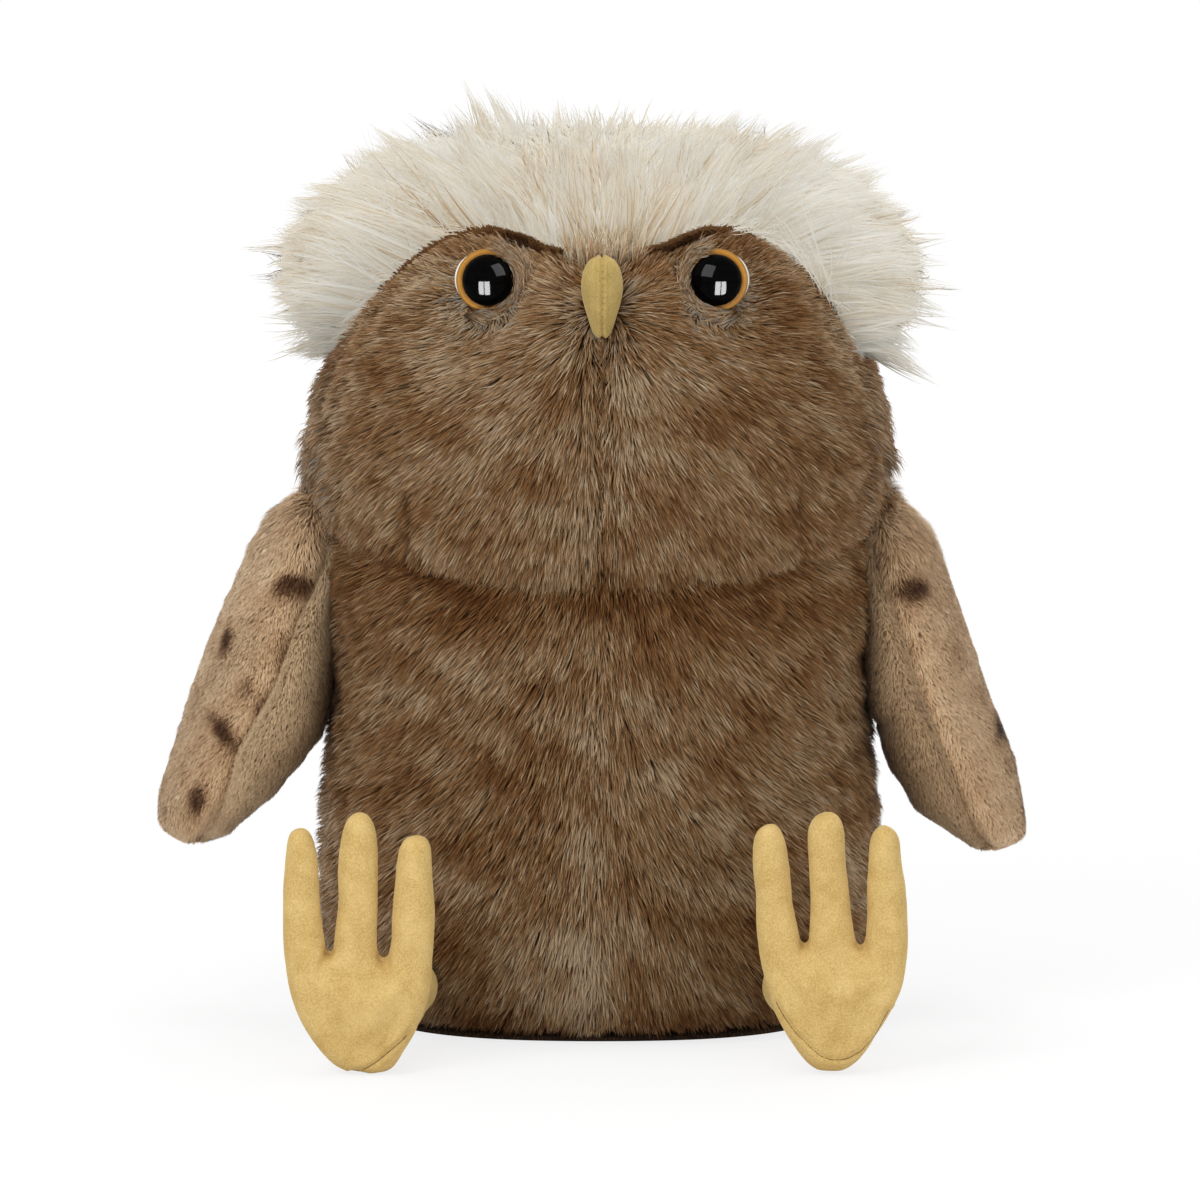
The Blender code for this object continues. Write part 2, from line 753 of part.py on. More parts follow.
def leg(side, side_name):
    """A stuffed tube from the hip to a foot of two panels round a core."""
    hip = hips[side]
    space = foot_form(f"foot_{side_name}_space", side, clearance, None, hip, cutters)
    hollow = foot_form(f"foot_{side_name}_hollow", side, -suede_thickness, None, hip, cutters)
    middle_y = foot_y - hip_y
    floor_cut = box(f"leg_{side_name}_above_floor", (-far, -far, -hip_z), (far, far, far), hip)
    front_cut = box(
        f"foot_{side_name}_front_cut", (-far, -far, -far), (far, middle_y - half_clearance, far), hip,
    )
    back_cut = box(
        f"foot_{side_name}_back_cut", (-far, middle_y + half_clearance, -far), (far, far, far), hip,
    )
    for panel_name, region in (("front", front_cut), ("back", back_cut)):
        panel = foot_form(f"foot_{side_name}_{panel_name}_panel", side, 0.0, sueded_cloth, hip, parts)
        carve(panel, "INTERSECT", region, floor_cut, solver="MANIFOLD")
        carve(panel, "DIFFERENCE", hollow, solver="MANIFOLD")
    core = foot_form(
        f"foot_{side_name}_stuffing", side, -suede_thickness - clearance, stuffing, hip, parts,
    )
    carve(core, "INTERSECT", floor_cut)

    ankle = Vector((side * (foot_x - hip_x), middle_y, ankle_z - hip_z))
    tube = capsule(
        f"leg_{side_name}", (0.0, 0.0, 0.0), ankle, leg_root_radius, leg_belly_radius, 0.0,
        sueded_cloth, hip, parts,
    )
    carve(tube, "DIFFERENCE", space)


torso()
head()
beak()
for side, side_name in side_names.items():
    wing(side, side_name)
    leg(side, side_name)
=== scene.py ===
"""Looks of a sitting plush owl.

Long brown pile on the torso and face, a crown of longer cream pile, short
spotted pile on the wings, sueded cloth on the feet and beak, and safety eyes.
Metres, +Z up, the owl looks along -Y. Left is -X. Places "in the photograph"
are pixels across and down in its 1200 x 1200 frame.
"""
import json
import math

import bmesh
import bpy
import numpy as np
from mathutils import Euler, Matrix, Vector
from mathutils.bvhtree import BVHTree
from mathutils.kdtree import KDTree

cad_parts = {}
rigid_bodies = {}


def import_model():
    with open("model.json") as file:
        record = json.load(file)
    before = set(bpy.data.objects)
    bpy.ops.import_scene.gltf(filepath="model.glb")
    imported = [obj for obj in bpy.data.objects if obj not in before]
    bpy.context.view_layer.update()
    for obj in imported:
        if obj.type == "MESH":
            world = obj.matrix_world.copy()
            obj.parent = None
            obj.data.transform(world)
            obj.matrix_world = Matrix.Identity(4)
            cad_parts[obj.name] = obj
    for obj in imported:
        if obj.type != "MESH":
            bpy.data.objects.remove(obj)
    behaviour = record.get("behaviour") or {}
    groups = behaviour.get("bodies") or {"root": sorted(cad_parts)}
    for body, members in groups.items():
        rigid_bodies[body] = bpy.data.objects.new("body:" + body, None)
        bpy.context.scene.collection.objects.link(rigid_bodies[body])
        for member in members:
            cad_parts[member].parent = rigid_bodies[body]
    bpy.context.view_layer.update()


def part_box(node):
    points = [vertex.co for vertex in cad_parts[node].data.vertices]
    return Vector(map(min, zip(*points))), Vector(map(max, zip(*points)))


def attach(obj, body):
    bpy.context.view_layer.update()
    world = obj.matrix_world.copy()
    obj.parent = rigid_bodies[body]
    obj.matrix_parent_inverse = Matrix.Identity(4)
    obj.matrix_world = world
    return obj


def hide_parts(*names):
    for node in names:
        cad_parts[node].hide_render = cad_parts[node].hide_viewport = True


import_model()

sides = {-1: "left", 1: "right"}
trunk = "torso_and_head"
mm = 0.001


# Camera at the photograph's angle

photo_size, photo_middle = 1200, 600
camera_distance = 8.0
camera_elevation = math.radians(9.0)
view_width = 0.361
middle_up = 0.130
middle_y = -0.030

view_direction = Vector((0.0, math.cos(camera_elevation), -math.sin(camera_elevation)))
view_up = Vector((0.0, math.sin(camera_elevation), math.cos(camera_elevation)))
aim = Vector((0.0, middle_y, 0.0)) + view_up * middle_up
eye_point = aim - view_direction * camera_distance

camera_data = bpy.data.cameras.new("camera")
camera_data.sensor_width = 36.0
camera_data.lens = camera_data.sensor_width * camera_distance / view_width
camera_data.clip_start = 0.05
camera_data.clip_end = 50.0
camera = bpy.data.objects.new("camera", camera_data)
bpy.context.scene.collection.objects.link(camera)
camera.location = eye_point
camera.rotation_euler = view_direction.to_track_quat("-Z", "Y").to_euler()
bpy.context.scene.camera = camera


def in_photo(points):
    """Where points show in the photograph."""
    away = np.asarray(points) - np.array(eye_point)
    depth = away @ np.array(view_direction)
    scale = camera_distance / depth * photo_size / view_width
    return photo_middle + away[..., 0] * scale, photo_middle - (away @ np.array(view_up)) * scale


def photo_ray(across, down):
    """The ray that shows at a place in the photograph."""
    sideways = (across - photo_middle) * view_width / photo_size
    upwards = (photo_middle - down) * view_width / photo_size
    target = aim + Vector((sideways, 0.0, 0.0)) + view_up * upwards
    return eye_point, (target - eye_point).normalized()


def photo_hit(tree, across, down):
    """The spot and normal that a surface shows at a place in the photograph."""
    return tree.ray_cast(*photo_ray(across, down))[:2]


# Small tools

def linear(hex_colour):
    """An sRGB hex colour as a linear RGBA value."""
    channels = []
    for start in (0, 2, 4):
        value = int(hex_colour[start:start + 2], 16) / 255
        channels.append(value / 12.92 if value <= 0.04045 else ((value + 0.055) / 1.055) ** 2.4)
    return (*channels, 1.0)


def plug(tree, node, inputs):
    """Set a node's inputs; each is a value or another node's socket."""
    for name, value in inputs.items():
        if isinstance(value, bpy.types.NodeSocket):
            tree.links.new(value, node.inputs[name])
        else:
            node.inputs[name].default_value = value


def add(tree, kind, inputs=None, **settings):
    """Add a node with its settings and links."""
    node = tree.nodes.new(kind)
    for name, value in settings.items():
        if name == "stops":
            ramp = node.color_ramp
            while len(ramp.elements) < len(value):
                ramp.elements.new(0.5)
            for element, (place, colour) in zip(ramp.elements, value):
                element.position = place
                element.color = linear(colour) if isinstance(colour, str) else (colour, colour, colour, 1.0)
        else:
            setattr(node, name, value)
    plug(tree, node, inputs or {})
    return node


def new_surface(name):
    """An empty material, its node tree and its shader."""
    surface = bpy.data.materials.new(name)
    surface.use_nodes = True
    return surface, surface.node_tree, surface.node_tree.nodes["Principled BSDF"]


def unit(vectors):
    """Vectors of length one."""
    size = np.linalg.norm(vectors, axis=-1, keepdims=True)
    return vectors / np.maximum(size, 1e-12)


def patches(points, size, seed):
    """Smooth mottling from -1 to 1, its patches about this wide in metres."""
    dice = np.random.default_rng(seed)
    total = np.zeros(len(points))
    waves = 14
    for _ in range(waves):
        direction = unit(dice.normal(size=3))
        wave = 2 * math.pi / (size * dice.uniform(1.3, 3.2))
        total += np.sin(points @ direction * wave + dice.uniform(0, 2 * math.pi))
    return np.clip(total / 4.6, -1.0, 1.0)


def drift(points, size, seed):
    """Smooth mottling as a vector at each point."""
    return np.stack([patches(points, size, seed + k) for k in range(3)], axis=1)


def ease(values, low, high):
    """0 below low, 1 above high, smooth between."""
    share = np.clip((values - low) / (high - low), 0.0, 1.0)
    return share * share * (3 - 2 * share)


def bell(values, middle, wide):
    """1 at the middle, falling off smoothly to both sides."""
    return np.exp(-((values - middle) / wide) ** 2)


def plateau(values, rise_from, rise_to, fall_from, fall_to):
    """1 over a stretch, with smooth slopes to 0 at both ends."""
    return ease(values, rise_from, rise_to) * (1 - ease(values, fall_from, fall_to))


def laid_flat(flow, normals):
    """What remains of a flow when it is laid down on a surface."""
    return flow - normals * (flow * normals).sum(axis=1, keepdims=True)


def picked(chosen, *arrays):
    """The chosen rows of several arrays."""
    return tuple(values[chosen] for values in arrays)


def new_object(name, mesh, surface=None):
    """An object in the scene, from a mesh, a mesh in making or a lamp."""
    if isinstance(mesh, bmesh.types.BMesh):
        build, mesh = mesh, bpy.data.meshes.new(name)
        build.to_mesh(mesh)
        build.free()
    obj = bpy.data.objects.new(name, mesh)
    bpy.context.scene.collection.objects.link(obj)
    if surface is not None:
        mesh.materials.clear()
        mesh.materials.append(surface)
    return obj


def finished_mesh(obj):
    """Apply an object's modifiers and return it."""
    bpy.context.view_layer.update()
    evaluated = obj.evaluated_get(bpy.context.evaluated_depsgraph_get())
    mesh = bpy.data.meshes.new_from_object(evaluated)
    obj.modifiers.clear()
    obj.data = mesh
    mesh.shade_smooth()
    return obj


def subdivided(obj, levels):
    """Round an object off by subdivision."""
    smooth = obj.modifiers.new("smooth", "SUBSURF")
    smooth.levels = smooth.render_levels = levels
    return finished_mesh(obj)


def belong(piece, body, nodes=()):
    """Tie a piece to its body and hide the solids that it stands for."""
    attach(piece, body)
    if nodes:
        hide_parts(*nodes)


def vectors_of(items, key):
    """A vector of every vertex as an array."""
    flat = np.empty(len(items) * 3)
    items.foreach_get(key, flat)
    return flat.reshape(-1, 3)


def points_of(mesh):
    return vectors_of(mesh.vertices, "co")


def normals_of(mesh):
    return vectors_of(mesh.vertex_normals, "vector")


def set_points(mesh, points):
    mesh.vertices.foreach_set("co", np.ascontiguousarray(points, dtype=np.float32).ravel())
    mesh.update()


def on_floor(mesh, points):
    """Move a mesh's vertices, none of them below the floor."""
    points[:, 2] = np.maximum(points[:, 2], 0.0)
    set_points(mesh, points)


def tree_of(obj):
    """A search tree over an object's faces, in the owl's own frame."""
    mesh = obj.data
    return BVHTree.FromPolygons(
        [obj.matrix_world @ v.co for v in mesh.vertices], [tuple(p.vertices) for p in mesh.polygons],
    )


def gap_to(tree, points):
    """Signed distance of each point from a closed surface, negative inside."""
    gaps = np.empty(len(points))
    for index, point in enumerate(points):
        spot, normal, _, distance = tree.find_nearest(Vector(point))
        inside = (Vector(point) - spot).dot(normal) < 0
        gaps[index] = -distance if inside else distance
    return gaps


def line_gap(across, down, line):
    """Distance in photo pixels from points to a line of corners, and the share along it."""
    gap, along = np.full(len(across), 1e9), np.zeros(len(across))
    for index, ((x0, y0), (x1, y1)) in enumerate(zip(line, line[1:])):
        share = ((across - x0) * (x1 - x0) + (down - y0) * (y1 - y0)) / ((x1 - x0) ** 2 + (y1 - y0) ** 2)
        share = np.clip(share, 0, 1)
        away = np.hypot(across - x0 - share * (x1 - x0), down - y0 - share * (y1 - y0))
        along = np.where(away < gap, (index + share) / (len(line) - 1), along)
        gap = np.minimum(gap, away)
    return gap, along


# Forms: each row is a share of the height, then of half width, front and back

torso_shares = (
    (0.000, 0.400, 0.370, 0.400), (0.000, 0.760, 0.700, 0.740), (0.040, 0.930, 0.880, 0.920),
    (0.160, 1.000, 0.985, 1.000), (0.350, 1.000, 1.010, 0.990), (0.540, 0.945, 0.950, 0.930),
    (0.720, 0.965, 0.930, 0.880), (0.860, 0.985, 0.870, 0.800), (0.960, 0.860, 0.680, 0.640),
    (1.000, 0.400, 0.300, 0.340),
)
head_shares = (
    (-0.015, 0.450, 0.480, 0.400), (0.015, 0.840, 0.880, 0.740), (0.110, 0.990, 0.985, 0.890),
    (0.300, 1.015, 1.015, 0.980), (0.480, 0.995, 1.000, 1.010), (0.640, 0.950, 0.960, 1.000),
    (0.800, 0.830, 0.890, 0.920), (0.930, 0.640, 0.690, 0.740), (0.990, 0.430, 0.430, 0.480),
    (1.000, 0.200, 0.180, 0.220),
)
# The crown's rows start at the brow
crown_shares = (
    (0.000, 0.880, 0.850, 0.860), (0.160, 0.930, 0.890, 0.930), (0.420, 1.000, 0.900, 1.000),
    (0.640, 0.950, 0.860, 0.950), (0.830, 0.790, 0.760, 0.800), (0.950, 0.560, 0.550, 0.580),
    (1.000, 0.280, 0.280, 0.300),
)
beak_shares = (
    (-0.020, 0.260, 0.220, 0.300), (0.020, 0.430, 0.400, 0.420), (0.120, 0.560, 0.540, 0.550),
    (0.250, 0.700, 0.720, 0.780), (0.390, 0.860, 0.880, 0.900), (0.530, 0.980, 1.000, 1.000),
    (0.670, 1.020, 1.020, 1.020), (0.820, 0.930, 0.880, 0.920), (0.950, 0.740, 0.640, 0.700),
    (1.030, 0.400, 0.300, 0.300),
)
# Wing rows: height, thickness, depth, bow
wing_shares = (
    (0.000, 0.240, 0.250, -0.200), (0.080, 0.700, 0.660, -0.130), (0.280, 1.010, 0.990, 0.100),
    (0.480, 1.000, 1.010, 0.180), (0.710, 0.840, 0.860, 0.060), (0.900, 0.700, 0.640, 0.060),
    (1.020, 0.480, 0.460, 0.160), (1.070, 0.260, 0.260, 0.300),
)


def ring_rows(shares, low, high, half_width, front, back, grow=0.0):
    """Rings in metres: height, half width, front, back and sideways shift."""
    return [
        (low + up * (high - low), wide * half_width + grow, ahead * front + grow, behind * back + grow, 0.0)
        for up, wide, ahead, behind in shares
    ]


def circle(radius, around):
    """Corners of a circle."""
    angles = (2 * math.pi * step / around for step in range(around))
    return [(radius * math.cos(angle), radius * math.sin(angle)) for angle in angles]


def skin(build, loops):
    """Faces between loops of vertices, closed at both ends."""
    for lower, upper in zip(loops, loops[1:]):
        for step in range(len(lower)):
            after = (step + 1) % len(lower)
            build.faces.new((lower[step], lower[after], upper[after], upper[step]))
    build.faces.new(loops[0][::-1])
    build.faces.new(loops[-1])


def soft_form(name, rings, around, squareness, levels, surface=None):
    """A closed stuffed form: sections up its height, subdivided smooth."""
    inside_share = math.cos(math.pi / around)
    build = bmesh.new()
    loops = []
    for height, half_width, front, back, shift in rings:
        loop = []
        for step in range(around):
            angle = 2 * math.pi * step / around
            across = math.copysign(abs(math.cos(angle)) ** (2 / squareness), math.cos(angle))
            along = math.copysign(abs(math.sin(angle)) ** (2 / squareness), math.sin(angle))
            depth = back if along > 0 else front
            spot = Vector((across * half_width, along * depth, 0.0)) / inside_share
            loop.append(build.verts.new(spot + Vector((shift, 0.0, height))))
        loops.append(loop)
    skin(build, loops)
    return subdivided(new_object(name, build, surface), levels)


def scatter(mesh, count, seed):
    """Random places over a mesh, even by area, with their normals."""
    dice = np.random.default_rng(seed)
    mesh.calc_loop_triangles()
    corners = np.empty(len(mesh.loop_triangles) * 3, dtype=np.int32)
    mesh.loop_triangles.foreach_get("vertices", corners)
    corners = corners.reshape(-1, 3)
    points, normals = points_of(mesh), normals_of(mesh)
    a, b, c = (points[corners[:, k]] for k in range(3))
    area = np.linalg.norm(np.cross(b - a, c - a), axis=1)
    chosen = dice.choice(len(corners), count, p=area / area.sum())
    root = np.sqrt(dice.random(count))
    other = dice.random(count)
    weights = np.stack((1 - root, root * (1 - other), root * other), axis=1)[:, :, None]
    return (points[corners[chosen]] * weights).sum(axis=1), unit((normals[corners[chosen]] * weights).sum(axis=1))


# Pile: every fibre bundle is a narrow blade with a pointed tip. A real fibre is
# thinner than a pixel, so a blade stands for the few that cling together.

def leaders_of(roots, count, dice):
    """For every root, the nearest of some roots that lead the others."""
    leaders = dice.choice(len(roots), max(1, count), replace=False)
    finder = KDTree(len(leaders))
    for leader in leaders:
        finder.insert(Vector(roots[leader]), int(leader))
    finder.balance()
    return np.array([finder.find(Vector(root))[1] for root in roots])


def blade_mesh(name, points, tone, steps):
    """Blades as one mesh: quads and a tip each, with tone and root to tip as their map."""
    count, per = points.shape[:2]
    quads = np.array([(2 * k, 2 * k + 1, 2 * k + 3, 2 * k + 2) for k in range(steps - 1)]).reshape(-1)
    pattern = np.concatenate((quads, (2 * steps - 2, 2 * steps - 1, 2 * steps)))
    corners = (np.arange(count)[:, None] * per + pattern[None]).ravel()
    sizes = np.tile(np.array([4] * (steps - 1) + [3]), count)
    mesh = bpy.data.meshes.new(name)
    mesh.vertices.add(count * per)
    mesh.vertices.foreach_set("co", points.astype(np.float32).ravel())
    mesh.loops.add(len(corners))
    mesh.loops.foreach_set("vertex_index", corners.astype(np.int32))
    mesh.polygons.add(len(sizes))
    mesh.polygons.foreach_set("loop_start", np.concatenate(([0], np.cumsum(sizes)[:-1])).astype(np.int32))
    upward, sideways = np.ones(per), np.zeros(per)
    upward[0:2 * steps:2] = upward[1:2 * steps:2] = np.linspace(0.0, 1.0, steps + 1)[:steps]
    sideways[1:2 * steps:2] = 0.02
    sideways[2 * steps] = 0.01
    u = 0.01 + tone[:, None] * 0.95 + sideways[None]
    v = np.broadcast_to(0.02 + upward * 0.96, (count, per))
    places = np.stack((u, v), axis=-1).reshape(-1, 2)[corners]
    layer = mesh.uv_layers.new(name="OFBake")
    layer.data.foreach_set("uv", places.astype(np.float32).ravel())
    mesh.update()
    mesh.validate()
    mesh.shade_smooth()
    return mesh


def pile(name, surface, fibres, seed, steps=3, bundle=9, pull=0.5, strays=0.6, curl=0.0004, floor=None,
         droop=0.0, soften=0.5, tuft=60, tuft_pull=0.0, point=0.0, sky=0.0, turn=0.45, ways=None):
    """Pile cloth's fibres as one mesh.

    A fibre leaves its root along the normal and lies over along its lay. Its
    tip leans to the tip of its bundle and its tuft. Its blade faces outwards, or
    the way that is given. Its normal is mixed from the blade's, the cloth's and
    the sky's, so that pile shades as one soft surface.
    """
    roots, normals, lay, length, rise, width, tone = fibres
    dice = np.random.default_rng(seed)
    count = len(roots)
    share = np.linspace(0.0, 1.0, steps + 1)[None, :, None]
    paths = (
        roots[:, None]
        + lay[:, None] * length[:, None, None] * share ** 1.15
        + normals[:, None] * rise[:, None, None] * (1 - (1 - share) ** 2)
    )
    paths[:, :, 2] -= droop * (share[:, :, 0] ** 2) * length[:, None]
    side = unit(np.cross(lay, normals))
    wave = np.sin(share * dice.uniform(2.0, 5.0, (count, 1, 1)) + dice.uniform(0, 6.28, (count, 1, 1)))
    paths += side[:, None] * wave * share * curl
    led_by = leaders_of(roots, count // bundle, dice)
    gather = pull * share ** 1.4 * dice.uniform(strays, 1.0, (count, 1, 1))
    paths = paths * (1 - gather) + paths[led_by] * gather
    if tuft_pull:
        far_led = leaders_of(roots, count // tuft, dice)
        gather = np.minimum(tuft_pull * share ** 1.6 * dice.uniform(0.3, 1.0, (count, 1, 1)), 0.97)
        along = dice.uniform(1 - point, 1.0, (count, 1, 1))
        leader_paths = paths[far_led]
        leader_paths = leader_paths[:, :1] + (leader_paths - leader_paths[:, :1]) * along
        paths = paths * (1 - gather) + leader_paths * gather
    if floor is not None:
        lift = floor + dice.random((count, 1)) * 0.0015
        paths[:, :, 2] = np.maximum(paths[:, :, 2], lift)

    along = unit(np.gradient(paths, axis=1))
    roll = dice.normal(0.0, turn, (count, 1, 1))
    outward, aside = (normals, side) if ways is None else (ways, unit(np.cross(ways, (0.0, 0.0, 1.0))))
    facing = outward[:, None] * np.cos(roll) + aside[:, None] * np.sin(roll)
    across = unit(np.cross(along, facing))
    taper = np.interp(share[0, :, 0], (0.0, 0.3, 0.7, 1.0), (0.7, 1.0, 0.75, 0.0))[None, :, None]
    half = across * (width[:, None, None] / 2) * taper
    left, right = paths - half, paths + half
    per = 2 * steps + 1
    points = np.empty((count, per, 3))
    points[:, 0:2 * steps:2] = left[:, :steps]
    points[:, 1:2 * steps:2] = right[:, :steps]
    points[:, 2 * steps] = paths[:, steps]
    mesh = blade_mesh(name, points, np.clip(tone * 0.75 + tone[led_by] * 0.25, 0.0, 1.0), steps)

    shading = facing * (1 - soften) + outward[:, None] * soften + unit(lay)[:, None] * 0.15
    shading = unit(unit(shading) * (1 - sky) + np.array((0.0, -0.12, 0.99)) * sky)
    shading = np.broadcast_to(shading, (count, per, 3)).reshape(-1, 3)
    mesh.normals_split_custom_set_from_vertices(shading.astype(np.float32))
    return new_object(name, mesh, surface)


def dress(name, panel, slot, surface, body, chosen, seed, fibres, most=38000, ways=None, **form):
    """Pile on the chosen roots, as one piece or as several from bottom to top."""
    roots = fibres[0]
    order = np.flatnonzero(chosen)
    order = order[np.argsort(roots[order, 2], kind="stable")]
    pieces = max(1, -(-len(order) // most))
    for index, part in enumerate(np.array_split(order, pieces)):
        piece = pile(
            name if pieces == 1 else f"{name}_{index + 1}", surface, picked(part, *fibres), seed + index,
            ways=None if ways is None else ways[part], **form,
        )
        belong(piece, body, (panel,))


def fibre_surface(name, root_stops, tip_stops, turn=(0.15, 0.75), roughness=0.62, sheen=0.25, gloss=0.3):
    """Acrylic pile fibre: its tone runs across the map, root to tip up it."""
    surface, tree, shader = new_surface(name)
    place = add(tree, "ShaderNodeUVMap", uv_map="OFBake")
    split = add(tree, "ShaderNodeSeparateXYZ", {"Vector": place.outputs["UV"]})
    root = add(tree, "ShaderNodeValToRGB", {"Fac": split.outputs["X"]}, stops=root_stops)
    tip = add(tree, "ShaderNodeValToRGB", {"Fac": split.outputs["X"]}, stops=tip_stops)
    upward = add(tree, "ShaderNodeValToRGB", {"Fac": split.outputs["Y"]}, stops=((turn[0], 0.0), (turn[1], 1.0)))
    mixed = add(tree, "ShaderNodeMix", {
        0: upward.outputs["Color"], 6: root.outputs["Color"], 7: tip.outputs["Color"],
    }, data_type="RGBA")
    # a round fibre is lit alike from both of its blade's sides
    blade = add(tree, "ShaderNodeNewGeometry")
    way = add(tree, "ShaderNodeMath", {0: blade.outputs["Backfacing"], 1: -2.0, 2: 1.0}, operation="MULTIPLY_ADD")
    both = add(tree, "ShaderNodeVectorMath", {
        0: blade.outputs["Normal"], "Scale": way.outputs["Value"],
    }, operation="SCALE")
    plug(tree, shader, {
        "Base Color": mixed.outputs[2], "Normal": both.outputs["Vector"], "Roughness": roughness,
        "Specular IOR Level": gloss, "Sheen Weight": sheen, "Sheen Roughness": 0.5,
    })
    return surface


def backing_surface(name, dark, light, spacing=1.1 * mm):
    """Warp-knitted backing of pile cloth: rows of small loops, seen at seams."""
    surface, tree, shader = new_surface(name)
    place = add(tree, "ShaderNodeTexCoord").outputs["Object"]
    rows = add(tree, "ShaderNodeTexWave", {
        "Vector": place, "Scale": 1 / spacing / 20 * math.pi, "Distortion": 1.5, "Detail": 1.0, "Detail Scale": 1.5,
    }, bands_direction="Z")
    blotch = add(tree, "ShaderNodeTexNoise", {"Vector": place, "Scale": 1 / (9 * mm), "Detail": 4.0})
    colour = add(tree, "ShaderNodeValToRGB", {"Fac": blotch.outputs["Fac"]}, stops=((0.3, dark), (0.7, light)))
    bump = add(tree, "ShaderNodeBump", {"Height": rows.outputs["Fac"], "Strength": 0.5, "Distance": 0.2 * mm})
    plug(tree, shader, {
        "Base Color": colour.outputs["Color"], "Normal": bump.outputs["Normal"], "Roughness": 0.95,
        "Specular IOR Level": 0.15, "Sheen Weight": 0.2,
    })
    return surface


# Mottled brown, then greys for the frosted fibres, then the gold of the wing joints
brown_fibre = fibre_surface(
    "acrylic_pile_brown",
    ((0.0, "321A08"), (0.28, "47290F"), (0.56, "573920"), (0.78, "675036"), (0.82, "4C4234"), (0.90, "544A3C"),
     (0.94, "50320E"), (1.0, "5E3E12")),
    ((0.0, "563316"), (0.28, "77512D"), (0.56, "957653"), (0.78, "B8A184"), (0.82, "8E8374"), (0.90, "A29786"),
     (0.94, "7A5018"), (1.0, "8E6426")),
    sheen=0.03, gloss=0.10,
)
# Tan at the roots over the beak, then cream to nearly white
cream_fibre = fibre_surface(
    "acrylic_pile_cream",
    ((0.0, "86603C"), (0.22, "A89374"), (0.45, "BFB097"), (0.7, "C6BEAE"), (1.0, "CEC9BD")),
    ((0.0, "A27E5A"), (0.22, "C2B194"), (0.45, "D4C8B2"), (0.7, "D7D2C6"), (1.0, "DDDBD3")),
    turn=(0.1, 0.8), roughness=0.6, sheen=0.1, gloss=0.12,
)
fringe_fibre = fibre_surface(
    "acrylic_pile_fringe",
    ((0.0, "341C0A"), (0.5, "482A12"), (1.0, "5A381C")),
    ((0.0, "482810"), (0.5, "60401F"), (1.0, "86603A")),
    sheen=0.05,
)
spotted_fibre = fibre_surface(
    "short_pile_spotted",
    ((0.0, "2C190F"), (0.2, "503521"), (0.5, "B08A64"), (0.8, "D0AC84"), (1.0, "DBBD96")),
    ((0.0, "442A1A"), (0.2, "745339"), (0.5, "CFAA82"), (0.8, "ECCDA6"), (1.0, "F4DFC0")),
    sheen=0.08, gloss=0.08,
)
plain_fibre = fibre_surface(
    "short_pile_plain",
    ((0.0, "54391F"), (0.5, "9C7E5B"), (1.0, "BC9F79")),
    ((0.0, "735539"), (0.5, "C6A782"), (1.0, "DFC5A2")),
    sheen=0.08, gloss=0.08,
)
brown_backing = backing_surface("knitted_backing_brown", "3C2814", "5A4028")
cream_backing = backing_surface("knitted_backing_cream", "CFC4AE", "DDD3BE")
tan_backing = backing_surface("knitted_backing_tan", "A8885F", "C2A17A")


# Head and torso: knitted backing under the pile

pile_depth = 6 * mm
middle_x, middle_across = 0.0006, 606
side_seam_y = 0.0040
brow_low = 0.185
head_low, head_high = 0.1350, 0.2540
crown_low, crown_high, crown_half_width = 0.1900, 0.2748, 0.0975
torso_half_width, torso_front = 0.0850, 0.0680
inward_turn, upward_turn = math.radians(12), math.radians(6)
eye_spots = {side: Vector((side * 0.0342 + middle_x, -0.0545, 0.2322)) for side in sides}
eye_axes = {
    side: Vector((-side * math.sin(inward_turn), -math.cos(inward_turn), math.sin(upward_turn))).normalized()
    for side in sides
}
# The face's pile lies away from this spot ahead of the beak
flow_centre = np.array((0.0, -0.0780, 0.2365))

torso = soft_form(
    "torso_backing",
    ring_rows(torso_shares, 0.0022, 0.1755 - pile_depth, torso_half_width, torso_front, 0.0640, -pile_depth),
    16, 2.35, 3, brown_backing,
)
head = soft_form(
    "head_backing",
    ring_rows(head_shares, head_low + pile_depth, head_high - pile_depth, 0.0865, 0.0710, 0.0650, -pile_depth),
    16, 2.30, 4, brown_backing,
)

# The face: a valley along the middle seam, darts in the cheeks, and cloth drawn
# out to the eyes
dart_across = {-1: 418, 1: 789}
spots, outward = points_of(head.data), normals_of(head.data)
across, down = in_photo(spots)
front = spots[:, 1] < 0
sink = 3.6 * mm * (bell(spots[:, 0], middle_x, 2.8 * mm) * plateau(spots[:, 2], 0.136, 0.150, 0.212, 0.222)) * front
for side in sides:
    dart = bell(across, dart_across[side], 10) * plateau(down, 450, 500, 530, 575)
    near = np.linalg.norm(spots - np.array(eye_spots[side]), axis=1)
    sink = sink + 3.0 * mm * dart * front
    sink = sink - 3.4 * mm * bell(near, 0, 11 * mm)
set_points(head.data, spots - outward * sink[:, None])
torso_tree, head_tree = tree_of(torso), tree_of(head)

